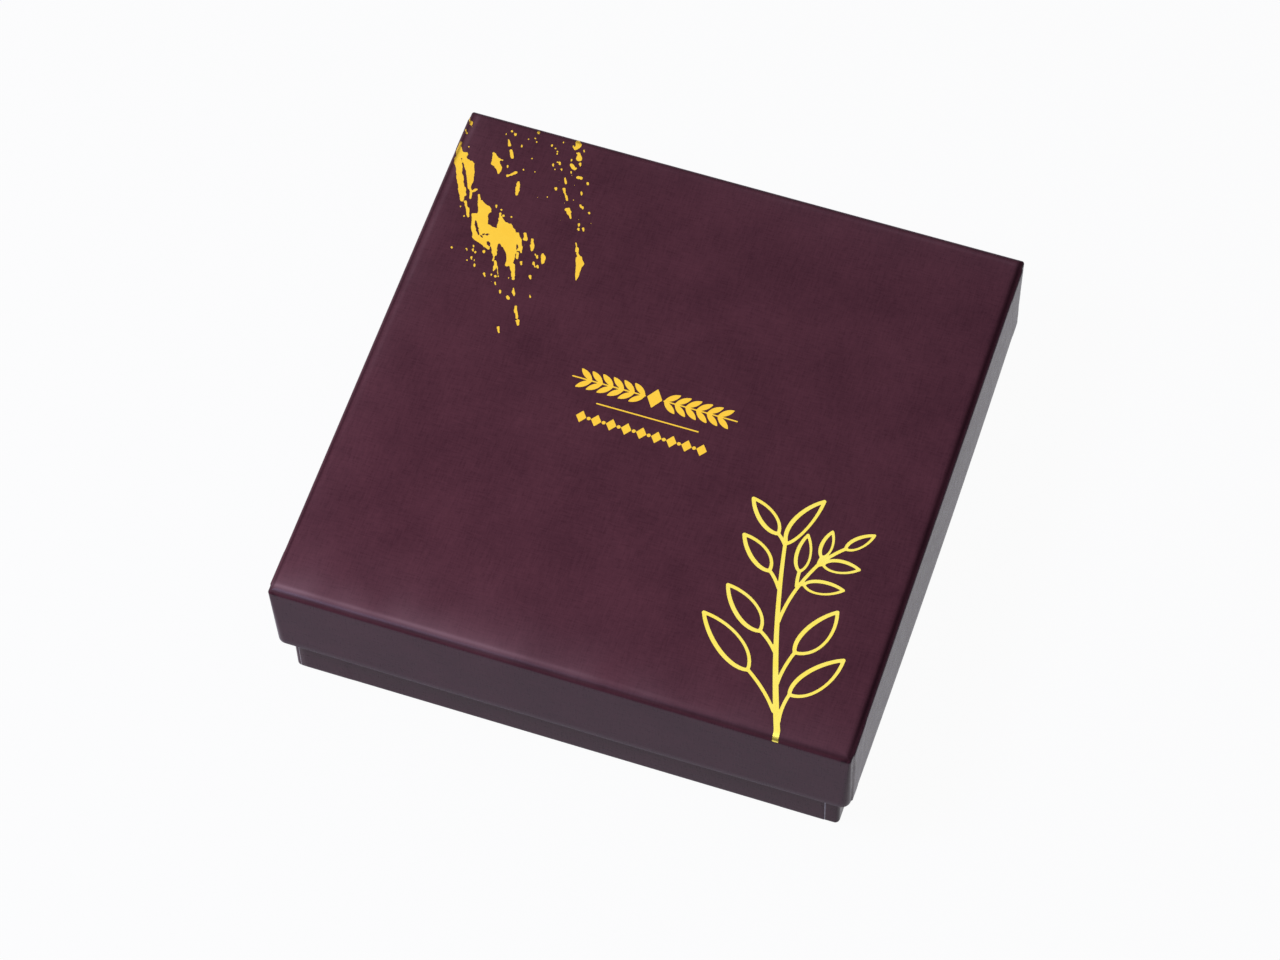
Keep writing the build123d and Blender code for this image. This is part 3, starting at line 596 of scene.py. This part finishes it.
# Sprig: drawn from the foot of its stem, in thousandths of its height
sprig = {
    "foot": (44.53, -58.1),
    "footRun": (0.3, -3),  # the stem goes on this way past its foot, over the fold
    "height": 51.05,
    "toe": -60.3,  # the stem is cut off here, part way down the fold
    "stemLine": 0.57, "stemTaper": (1.08, 0.45), "branchLine": 0.345, "leafLine": 0.37,
    "leafSwell": 0.072,  # one edge of each leaf is this much broader, and the other finer
    "leafPull": (0.16, 0.66),  # where along the leaf its control points are, and how far out
    "leafOut": (1.35, 1.2825), "smallLeaf": 8.5, "smallLine": 0.82,
    "area": (20, 57, -61.5, -4), "cell": 0.16,
}
# each leaf: start x, y, tip x, y, bulge to its left and to its right
sprigLeaves = [
    (-254, 808, -392, 928, 28, 34), (-210, 777, -126, 1000, 42, 21), (-237, 643, -377, 765, 28, 40),
    (-192, 383, -369, 536, 38, 48), (-185, 210, -420, 394, 42, 54), (-37, 336, 66, 553, 36, 56),
    (-2, 159, 150, 363, 38, 50), (-126, 676, -142, 839, 26, 28), (-62, 761, -56, 882, 20, 22),
    (14, 825, 103, 917, 20, 22), (-49, 734, 91, 755, 26, 26), (-93, 627, 60, 650, 24, 30),
]
# each stalk: start, middle and end
sprigStalks = [
    (-214, 769, -232, 792, -256, 812), (-181, 583, -208, 622, -239, 647),
    (-113, 318, -150, 360, -194, 387), (-39, 74, -100, 150, -187, 214), (-60, 190, -58, 262, -36, 340),
    (-6, 39, -14, 100, -1, 163), (-136, 445, -126, 584, -66, 726), (-66, 726, -30, 782, 16, 828),
    (-117, 612, -124, 645, -126, 680), (-66, 726, -66, 744, -62, 765), (-70, 720, -60, 730, -46, 734),
    (-112, 622, -103, 626, -90, 627),
]
sprigStem = (0, 0, -134, 383, -214, 772)


def sprigSpot(x, y):
    return Vector(sprig["foot"]) + Vector((x, y)) / 1000 * sprig["height"]


def stalkRun(line, count=14):
    # a curve that passes its middle point half way
    a, b, c = [sprigSpot(*line[i : i + 2]) for i in (0, 2, 4)]
    pull = (b - (a + c) / 8) * 8 / 6
    return bezier(a, a + (pull - a) * 2 / 3, c + (pull - c) * 2 / 3, c, count)


def sprigField(xs, ys):
    wide, taper = sprig["stemTaper"]
    strokes = [[(x, y, sprig["branchLine"]) for x, y, t in stalkRun(line)] for line in sprigStalks]
    strokes.append([(x, y, sprig["stemLine"] * (wide - taper * t)) for x, y, t in stalkRun(sprigStem, 24)])
    for startX, startY, tipX, tipY, *bulges in sprigLeaves:
        start, tip = sprigSpot(startX, startY), sprigSpot(tipX, tipY)
        run = tip - start
        across = Vector((-run.y, run.x)).normalized() / 1000 * sprig["height"]
        line = sprig["leafLine"] * (sprig["smallLine"] if run.length < sprig["smallLeaf"] else 1.0)
        for side, bulge in zip((1, -1), bulges):
            controls = zip(sprig["leafPull"], sprig["leafOut"])
            one, other = [start + run * pull + across * side * bulge * out for pull, out in controls]
            swell = sprig["leafSwell"] * side
            curve = bezier(start, one, other, tip)
            strokes.append([(x, y, line + swell * math.sin(math.pi * t)) for x, y, t in curve])
    footX, footY = sprig["foot"]
    footLine = sprig["stemLine"] * wide
    runX, runY = sprig["footRun"]
    strokes.append([(footX, footY, footLine), (footX + runX, footY + runY, footLine)])
    return np.minimum(strokeField(xs, ys, strokes), ys - sprig["toe"])


stampFoil("foil_sprig", sprigField, sprig, paleLitGoldFoil)

# Ornament: a laurel band, a rule, and a row of lozenges and dots
band = {
    "middle": (-1.4, 5), "halfLength": 17.4, "leaves": 6, "leafLength": 3.7,
    "leafHalfWidth": 0.62, "leafAngle": 38, "line": 0.3, "lozenge": (3.2, 4.6),
    "middleGap": 2, "ruleLength": 21.4, "ruleDrop": 4.7, "rowDrop": 8.5,
    "rowHalfLength": 12.7, "rowCount": 9, "rowLozenge": (2.2, 2.8), "rowDot": 0.4,
    "area": (-21.5, 18.5, -6, 9), "cell": 0.14,
}


def lozengeField(xs, ys, middleX, middleY, size):
    width, height = size[0] / 2, size[1] / 2
    slope = math.hypot(1 / width, 1 / height)
    return (1 - abs(xs - middleX) / width - abs(ys - middleY) / height) / slope


def leafField(xs, ys, start, tip, halfWidth):
    # the overlap of two equal circles through the leaf's ends
    run, middle = Vector(tip) - Vector(start), (Vector(start) + Vector(tip)) / 2
    radius = ((run.length / 2) ** 2 + halfWidth * halfWidth) / (2 * halfWidth)
    across = Vector((-run.y, run.x)).normalized() * (radius - halfWidth)
    centres = (middle + across, middle - across)
    return np.minimum(*[radius - np.hypot(xs - centre.x, ys - centre.y) for centre in centres])


def bandField(xs, ys):
    (middleX, middleY), pen = band["middle"], band["line"] / 2
    parts = [lozengeField(xs, ys, middleX, middleY, band["lozenge"])]
    ruleY, rowY, half = middleY - band["ruleDrop"], middleY - band["rowDrop"], band["ruleLength"] / 2
    strokes = [[(middleX - half, ruleY, pen), (middleX + half, ruleY, pen)]]
    step = (band["halfLength"] - band["middleGap"] - band["leafLength"] / 2) / band["leaves"]
    angle = math.radians(band["leafAngle"])
    for side in (-1, 1):
        inner, outer = [middleX + side * band[end] for end in ("middleGap", "halfLength")]
        strokes.append([(inner, middleY, pen), (outer, middleY, pen)])
        for i in range(band["leaves"]):
            root = middleX + side * (band["middleGap"] + i * step)
            tipX = root + side * band["leafLength"] * math.cos(angle)
            for rise in (-1, 1):
                tip = (tipX, middleY + rise * band["leafLength"] * math.sin(angle))
                parts.append(leafField(xs, ys, (root, middleY), tip, band["leafHalfWidth"]))
    rowStep = 2 * band["rowHalfLength"] / (band["rowCount"] - 1)
    for i in range(band["rowCount"]):
        spotX = middleX - band["rowHalfLength"] + i * rowStep
        parts.append(lozengeField(xs, ys, spotX, rowY, band["rowLozenge"]))
        if i < band["rowCount"] - 1:
            parts.append(band["rowDot"] - np.hypot(xs - spotX - rowStep / 2, ys - rowY))
    parts.append(strokeField(xs, ys, strokes))
    return np.maximum.reduce(parts)


stampFoil("foil_ornament", bandField, band, orangeFoil)

# Splash: gold dragged off a dry brush, to the right and to the front of the lid's far left corner. Strokes
# and holes are runs of x, y and half width in tenths of a millimetre, and specks are scattered in clusters.
splash = {
    "shift": (0.2, -0.24),
    "run": 67,  # degrees from the far edge: the way it is dragged
    "speckSize": (0.1, 0.28), "speckScatter": 0.6,
    "speckTail": (0.3, 2.4, 0.7),  # shortest and longest run in speck sizes, and the size at its end
    "tear": 0.36, "tearLength": 1.9, "tearWidth": 0.9,
    "tearReach": 1.2,  # how far from the edges it is worked out
    "thin": 0.04, "seed": 11, "area": (-63, -22, 8, 61), "cell": 0.17,
}
splashStrokes = [
    (-6, 14, 2, 8, 31, 3.5, 14, 40, 1.5), (-14, 26, 3, -3, 44, 4, 10, 58, 2),
    (-18, 52, 4, -4, 76, 5, 6, 94, 6, 12, 123, 7, 26, 155, 7, 42, 186, 8),
    (42, 186, 8, 52, 206, 7, 54, 218, 3.5), (63, 220, 3, 73, 237, 4, 82, 254, 2),
    (22, 110, 6.5, 25, 123, 5, 40, 132, 11, 51, 156, 7.5, 59, 181, 5, 70, 208, 1.5),
    (66, 193, 2.5, 75, 184, 1.5), (79, 90, 3.5, 90, 110, 9.5, 101, 119, 6.5, 104, 134, 1.5),
    (91, 102, 4.5, 101, 99, 2.5), (84, 196, 2, 93, 214, 6, 109, 229, 13.5, 111, 258, 19),
    (91, 246, 6, 101, 274, 5.5, 110, 294, 7, 130, 301, 8.5, 146, 313, 3),
    (117, 265, 17.5, 142, 282, 18, 160, 278, 22, 178, 281, 19),
    (143, 230, 2, 154, 252, 10, 168, 253, 11.5, 184, 270, 9.5),
    (180, 284, 15, 193, 307, 11, 199, 327, 8, 196, 338, 4), (153, 293, 11, 161, 313, 7, 165, 338, 2),
    (192, 261, 3, 199, 276, 5, 208, 291, 4, 213, 302, 2), (207, 307, 3.5, 210, 318, 2),
    (205, 257, 3.5, 211, 268, 5.5), (224, 265, 3, 229, 278, 5, 232, 291, 2),
    (255, 288, 3, 261, 300, 5, 264, 314, 2), (206, 337, 5.5, 212, 349, 3.5, 219, 367, 2.5),
    (170, 338, 3, 173, 351, 4.5, 174, 361, 2), (179, 351, 2, 188, 371, 2),
    (226, 389, 2.5, 230, 396, 4.5, 234, 404, 2.5), (246, 429, 3, 250, 439, 3.5, 257, 454, 2.5),
    (261, 460, 4, 264, 467, 3.5), (228, 487, 2.5, 234, 497, 2),
    (313, 246, 1.5, 324, 268, 4.5, 336, 291, 8.5, 339, 308, 5, 342, 331, 1.5),
    (235, 8, 4.5, 239, 17, 6.5, 236, 25, 4), (246, 35, 4.5, 251, 47, 6), (242, 67, 3, 251, 73, 5),
    (262, 93, 2.5, 271, 92, 4), (246, 128, 3, 250, 136, 3, 262, 152, 2),
    (263, 176, 2, 271, 173, 5.5, 276, 182, 4.5, 283, 192, 1.5), (97, 47, 2.5, 104, 60, 3),
    (110, 72, 3, 119, 87, 2.5), (124, 133, 3, 132, 127, 3, 138, 121, 4),
    (151, 142, 2.5, 156, 158, 5.5, 157, 172, 2.5), (239, 100, 2, 246, 114, 2),
    (246, 317, 2.5, 252, 328, 2.5), (261, 388, 2, 267, 398, 2.5),
]
splashHoles = [
    (126, 236, 7, 132, 252, 9, 140, 248, 3.5), (98, 256, 2, 107, 272, 3, 114, 285, 2),
    (126, 283, 2, 132, 282, 2.5), (166, 298, 3, 174, 318, 8.5),
]
# each cluster of specks: middle and spread in millimetres, and count
splashClusters = [
    (14.5, 2.5, 5.5, 2.2, 15), (20, 6, 3.5, 3, 9), (13, 9.5, 3, 3, 7), (26, 10.5, 3.2, 5, 16),
    (30, 18.5, 3.4, 4.4, 10), (21.5, 16, 3, 2.5, 5), (14.5, 22.5, 3, 2.4, 7), (24, 30.5, 3.4, 3.6, 11),
    (12.5, 33, 2.2, 2.6, 9), (17.5, 37.6, 2.6, 2.4, 10), (21.5, 42.5, 2.6, 4, 4), (6.6, 27, 1.8, 3, 5),
    (2.2, 8.2, 1.6, 3.4, 3),
]


def splashRuns(runs):
    return [[[v / 10 for v in run[i : i + 3]] for i in range(0, len(run), 3)] for run in runs]


def splashField(xs, ys):
    half = lidWrap["halfSide"]
    right, down = xs + half - splash["shift"][0], half - ys + splash["shift"][1]
    random.seed(splash["seed"])
    angle = math.radians(splash["run"])
    cosine, sine = math.cos(angle), math.sin(angle)
    strokes, holes = splashRuns(splashStrokes), splashRuns(splashHoles)
    scatter, tail = splash["speckScatter"], splash["speckTail"]
    for x, y, spreadX, spreadY, count in splashClusters:
        for i in range(count):
            spotX, spotY = random.gauss(x, spreadX * scatter), random.gauss(y, spreadY * scatter)
            size = random.uniform(*splash["speckSize"])
            reach = size * random.uniform(*tail[:2])
            end = (spotX + reach * cosine, spotY + reach * sine, size * tail[2])
            strokes.append([(spotX, spotY, size), end])
    field = strokeField(right, down, strokes)
    cut = np.minimum(field, -strokeField(right, down, holes))
    along, across = right * cosine + down * sine, down * cosine - right * sine
    tear = np.zeros(xs.shape)
    for i, j in zip(*np.nonzero(np.abs(cut) < splash["tearReach"])):
        spot = Vector((along[i, j] / splash["tearLength"], across[i, j] / splash["tearWidth"], 4.2))
        tear[i, j] = noise.fractal(spot, 0.7, 2.1, 4)
    # large shapes are torn more than specks
    return cut + splash["tear"] * tear * np.clip((field + 1.0) / 1.4, 0.25, 1) - splash["thin"]


stampFoil("foil_splash", splashField, splash, orangeFoil)
print("foil laid")


# Insert tray and cushion pad
tray = {
    "side": (trayHigh.x - trayLow.x) / mm, "top": trayHigh.z / mm, "bottom": trayLow.z / mm,
    "sheet": 0.4,
    "drawnShare": 0.9,  # the sheet's thickness after forming
    "corner": 4, "edgeRadius": 1, "pitch": 36, "mouth": 32.4, "mouthCorner": 7,
    "mouthRadius": 0.8, "draft": 4, "floorRadius": 0.8, "floorCrown": 0.12,
    "floorRing": (0.12, 9, 0.8),  # height, radius and width of the ring pressed in each floor
    "perSide": 24,
}


def roundCorner(x, y, half, radius):
    # moves a square's corners onto an arc, and what lies inside them with it
    overX, overY = abs(x) - (half - radius), abs(y) - (half - radius)
    if overX <= 0 or overY <= 0:
        return x, y
    shrink = max(overX, overY) / math.hypot(overX, overY)
    return tuple(math.copysign(half - radius + over * shrink, a) for over, a in ((overX, x), (overY, y)))


def trayProfile():
    # one pocket from its mouth down: (how far in from the mouth's side, depth)
    radius, low = tray["mouthRadius"], tray["floorRadius"]
    floor = tray["top"] - tray["bottom"] - tray["sheet"]
    run = [(-radius * (1 - s), radius * (1 - c)) for s, c in quarterArc(5)]
    for depth in [radius + (floor - radius - low) * i / 7 for i in range(1, 8)]:
        run.append((depth * math.tan(math.radians(tray["draft"])), depth))
    base = run[-1][0]
    return run + [(base + low * (1 - c), floor - low * (1 - s)) for s, c in quarterArc(4, 1)]


def buildTray():
    points, faces, index = [], [], {}
    count, pitch, outer = tray["perSide"], tray["pitch"], tray["side"] / 2
    steps = [2 * i / count - 1 for i in range(count + 1)]
    border = [quarterTurn(side, 1, t) for side in range(4) for t in steps[:-1]]

    def add(x, y, depth, trayCorner=False):
        if trayCorner:
            x, y = roundCorner(x, y, outer, tray["corner"])
        key = (round(x, 4), round(y, 4), round(depth, 4))
        if key not in index:
            index[key] = len(points)
            points.append((x * mm, y * mm, (tray["top"] - depth) * mm))
        return index[key]

    for middleX, middleY in [(column * pitch, row * pitch) for column in (-1, 0, 1) for row in (-1, 0, 1)]:
        last = [add(middleX + a * pitch / 2, middleY + b * pitch / 2, 0, True) for a, b in border]
        for inset, depth in trayProfile():
            half, radius = tray["mouth"] / 2 - inset, tray["mouthCorner"] - inset
            ring = [roundCorner(a * half, b * half, half, radius) for a, b in border]
            ring = [add(middleX + x, middleY + y, depth) for x, y in ring]
            faces += ringFaces(last, ring)
            last = ring
        high, ringRadius, width = tray["floorRing"]
        grid = {}
        for i, a in enumerate(steps):
            for j, b in enumerate(steps):
                x, y = roundCorner(a * half, b * half, half, radius)
                rise = 0.0
                if max(abs(a), abs(b)) < 1:
                    rise = tray["floorCrown"] * (1 - a * a) * (1 - b * b)
                    rise += high * math.exp(-(((math.hypot(x, y) - ringRadius) / width) ** 2))
                grid[i, j] = add(middleX + x, middleY + y, depth - rise)
        faces.extend(gridFaces(grid, count))

    # the rim outside the pockets, over its edge and down the skirt
    edge, high = tray["edgeRadius"], tray["top"] - tray["bottom"]
    rim = [(3 * pitch / 2, 0.0)] + [(outer - edge * (1 - s), edge * (1 - c)) for s, c in quarterArc(6)]
    rim += [(outer, edge + (high - edge) * i / 8) for i in range(1, 9)]
    line = [middle / 3 + t / 3 for middle in (-2, 0, 2) for t in steps[:-1]]
    square = [quarterTurn(side, 1, t) for side in range(4) for t in line]
    rings = [[add(a * half, b * half, depth, True) for a, b in square] for half, depth in rim]
    for inside, outside in zip(rings, rings[1:]):
        faces += ringFaces(outside, inside)
    piece = makePiece("formed_gold_tray", points, faces, [goldSheet], "tray", "insert_tray")
    thickenInward(piece, tray["sheet"] * tray["drawnShare"])


buildTray()

# Cushion pad: layers of glassine, crimped round the edge and along channels, and puffed between
pad = {
    "side": (padHigh.x - padLow.x) / mm, "middle": (padHigh.z + padLow.z) / 2 / mm,
    "halfThick": (padHigh.z - padLow.z) / 2 / mm, "corner": 5, "channelPitch": 18.2,
    "perChannel": 24, "crimpWidth": 1.9, "crimpPitch": 3, "crimpHeight": 0.14, "crimpFade": 0.8,
    "sealThick": 0.22,  # half the thickness where the layers are pressed together
    "puffRun": 5, "puffPower": 0.6, "channelShare": 0.50, "undersideShare": 0.80,
    "drawIn": 0.9, "wrinkle": 0.13,
    "pucker": (3.4, 9, 5),  # spacing of the puckers, and sizes of their wander and of the creases
    "fill": 0.5, "seed": 5.3,
}


def padLift(x, y, top):
    half, pitch = pad["side"] / 2, pad["channelPitch"]
    a, b = roundCorner(x, y, half, pad["corner"])
    inward = half - max(abs(x), abs(y))
    share = min(1.0, max(0.0, inward - pad["crimpWidth"]) / pad["puffRun"])
    edge = math.sqrt(max(0.0, 1 - (1 - share) ** 2))
    puff = abs(math.sin(math.pi * a / pitch) * math.sin(math.pi * b / pitch)) ** pad["puffPower"]
    low = pad["channelShare"] if top else pad["undersideShare"]
    lift = pad["sealThick"] + (pad["halfThick"] - pad["sealThick"]) * edge * (low + (1 - low) * puff)
    # puckers run across the channels and die out in the puffs
    spacing, wander, creases = pad["pucker"]
    pucker = math.sin(2 * math.pi * (a + b) / spacing + 2.5 * wave(a, b, pad["seed"], wander))
    crease = wave(a, b, pad["seed"] + 2, creases) * 0.6 + pucker * (1 - puff) * 0.5
    return lift - pad["wrinkle"] * edge * (0.5 + 0.5 * crease) * (1.0 if top else 0.5)


def buildPad():
    half = pad["side"] / 2
    count = round(pad["side"] / pad["channelPitch"]) * pad["perChannel"]
    steps = [2 * i / count - 1 for i in range(count + 1)]
    run = [(i, 0) for i in range(count)] + [(count, i) for i in range(count)]
    run += [(count - i, count) for i in range(count)] + [(0, count - i) for i in range(count)]
    points, faces, borders = [], [], []
    for side in (1, -1):
        grid = {}
        for i, a in enumerate(steps):
            for j, b in enumerate(steps):
                x, y = a * half, b * half
                z = side * padLift(x, y, side > 0)
                inward = half - max(abs(x), abs(y))
                if inward < pad["crimpWidth"]:
                    along = y if abs(x) > abs(y) else x
                    fold = math.sin(2 * math.pi * along / pad["crimpPitch"])
                    share = min(1.0, (pad["crimpWidth"] - inward) / pad["crimpFade"])
                    z += pad["crimpHeight"] * fold * share
                x -= math.copysign(pad["drawIn"] * (1 - b * b) * abs(a) ** 5, x)
                y -= math.copysign(pad["drawIn"] * (1 - a * a) * abs(b) ** 5, y)
                x, y = roundCorner(x, y, half, pad["corner"])
                grid[i, j] = len(points)
                points.append((x * mm, y * mm, (pad["middle"] + z) * mm))
        faces += [quad[::side] for quad in gridFaces(grid, count)]
        borders.append([grid[spot] for spot in run])
    faces += ringFaces(*reversed(borders))
    piece = makePiece("quilted_cushion_pad", points, faces, [glassine], "pad", "cushion_pad")
    faceOutward(piece)


buildPad()
print("tray and pad made")

# Pralines and nuts: the solids' own forms, with softer edges and a slightly uneven surface
confection = {"voxel": 0.45, "melt": 4, "meltFactor": 0.5}
milk, dark = ("milk_chocolate", milkChocolate, 5.0), ("dark_chocolate", darkChocolate, 5.0)
# each piece: its slot and material, and the size and depth of its unevenness
confections = {
    "praline_dome": (*milk, 0.06), "praline_pillow": (*dark, 0.06),
    "praline_truffle": ("cocoa_dust", cocoa, 2.2, 0.45), "praline_heart": (*milk, 0.06),
    "praline_hazelnut": (*dark, 0.06), "hazelnut": ("nut", hazelSkin, 2.5, 0.16),
    "praline_pyramid": (*dark, 0.05), "praline_oval": (*milk, 0.06), "praline_almond": (*milk, 0.06),
    "almond": ("nut", almondSkin, 2, 0.16), "praline_cube": ("white_chocolate", whiteChocolate, 5, 0.05),
}


def mouldConfection(node, body, slot, material, size, depth):
    work = bmesh.new()
    work.from_mesh(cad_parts[node].data)
    bmesh.ops.remove_doubles(work, verts=work.verts, dist=0.001 * mm)
    rough = bpy.data.meshes.new(node + "_rough")
    work.to_mesh(rough)
    work.free()
    piece = addObject(node + "_moulded", rough)
    even = piece.modifiers.new("evenMesh", "REMESH")
    even.mode = "VOXEL"
    even.voxel_size = confection["voxel"] * mm
    melt = piece.modifiers.new("meltedEdges", "SMOOTH")
    melt.factor = confection["meltFactor"]
    melt.iterations = confection["melt"]
    mesh = bpy.data.meshes.new_from_object(piece.evaluated_get(bpy.context.evaluated_depsgraph_get()))
    piece.modifiers.clear()
    piece.data = mesh
    bpy.data.meshes.remove(rough)
    moved = []
    for vertex in mesh.vertices:
        # only inwards, so that nothing grows past its solid
        sink = depth * (0.5 + 0.5 * noise.fractal(vertex.co / (size * mm), 0.9, 2.1, 3))
        moved.extend(vertex.co - vertex.normal * max(0.0, sink) * mm)
    mesh.vertices.foreach_set("co", moved)
    mesh.polygons.foreach_set("use_smooth", [True] * len(mesh.polygons))
    mesh.materials.clear()
    mesh.materials.append(material)
    mesh.update()
    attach(piece, body)
    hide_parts(node)


for node, details in confections.items():
    # a nut goes with its praline
    mouldConfection(node, "praline_" + node.split("_")[-1], *details)
print("confections moulded")

# Boards, stays and linings keep their solids and get their own finishes
for ending, material in (("_board", greyboard), ("_corner_stays", kraftPaper), ("_liner", linerPaper)):
    for half in ("base", "lid"):
        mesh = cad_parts[half + ending].data
        mesh.materials.clear()
        mesh.materials.append(material)
print("boards and linings finished")


# Floor, light and camera
studio = {
    "floorSize": 9, "floorDrop": 0.0002,
    "floorColour": "#888DAF",
    "floorWhite": 0.96,  # how white the floor is to the camera
    "keyPlace": (-0.24, -0.2, 0.5), "keySize": 0.2, "keyPower": 3,
    "capAxis": (-0.24, 0.36, 0.9),  # middle of the pale ceiling
    "capRange": (0.7, 0.88, 0, 1.2),  # cosines from it where it starts and is full, and strengths
    "wallRange": (0.1, 0.2, 1, 0.05),  # heights between which the pale walls end, and strengths
}
view = {
    "place": (152.28, -423.99, 803.61), "target": (1.74, -13.62, 34.8), "roll": -1.79,
    "lens": 125.12, "clip": (0.05, 30),
}

reach = studio["floorSize"] / 2
corners = [(*quarterTurn(turns, -reach, -reach), -studio["floorDrop"]) for turns in range(4)]
floorMesh = bpy.data.meshes.new("studio_floor")
floorMesh.from_pydata(corners, [], [(0, 1, 2, 3)])
floor = addObject("studio_floor", floorMesh)
floorPaint, tree = newMaterial("paleFloor")[:2]
rays = addNode(tree, "LightPath")
seen = rays.outputs["Is Camera Ray"]
for kind in ("Is Glossy Ray", "Is Transmission Ray"):
    seen = addNode(tree, "Math", {"operation": "MAXIMUM"}, {0: seen, 1: rays.outputs[kind]})
share = addNode(tree, "Math", {"operation": "MULTIPLY", 1: studio["floorWhite"]}, {0: seen})
matt = addNode(tree, "BsdfDiffuse", {"Color": toLinear(studio["floorColour"])})
white = addNode(tree, "Emission", {"Strength": 1.0})
mixed = addNode(tree, "MixShader", links={0: share, 1: matt, 2: white})
addNode(tree, "OutputMaterial", links={"Surface": mixed})
floorMesh.materials.append(floorPaint)

world = bpy.data.worlds.new("studioAir")
bpy.context.scene.world = world
world.use_nodes = True
tree = world.node_tree
tree.nodes.clear()
direction = addNode(tree, "TexCoord").outputs["Generated"]
height = addNode(tree, "SeparateXYZ", links={0: direction})
fromAxis = addNode(tree, "VectorMath", {"operation": "DOT_PRODUCT", 1: studio["capAxis"]}, {0: direction})
glows = {}
for value, ends in ((height.outputs["Z"], "wallRange"), (fromAxis.outputs["Value"], "capRange")):
    ramp = dict(zip(("From Min", "From Max", "To Min", "To Max"), studio[ends]))
    ramp["interpolation_type"] = "SMOOTHSTEP"
    glows[len(glows)] = addNode(tree, "MapRange", ramp, {"Value": value})
glow = addNode(tree, "Math", {"operation": "MAXIMUM"}, glows)
air = addNode(tree, "Background", links={"Strength": glow})
addNode(tree, "OutputWorld", links={"Surface": air})


def placeAimed(name, data, place, target=(0, 0, 0), roll=0.0):
    held = addObject(name, data)
    aim = (Vector(target) - Vector(place)).to_track_quat("-Z", "Y")
    held.location = place
    held.rotation_mode = "QUATERNION"
    held.rotation_quaternion = aim @ Matrix.Rotation(math.radians(roll), 3, "Z").to_quaternion()
    return held


lamp = bpy.data.lights.new("keySoftbox", "AREA")
lamp.shape = "SQUARE"
lamp.size = studio["keySize"]
lamp.energy = studio["keyPower"]
placeAimed("keySoftbox", lamp, studio["keyPlace"])
lens = bpy.data.cameras.new("viewCamera")
lens.sensor_fit = "HORIZONTAL"
lens.lens = view["lens"]
lens.clip_start, lens.clip_end = view["clip"]
place, target = Vector(view["place"]) * mm, Vector(view["target"]) * mm
camera = placeAimed("viewCamera", lens, place, target, view["roll"])
bpy.context.scene.camera = camera
bpy.context.scene.view_settings.view_transform = "Standard"
print("floor, light and camera placed")
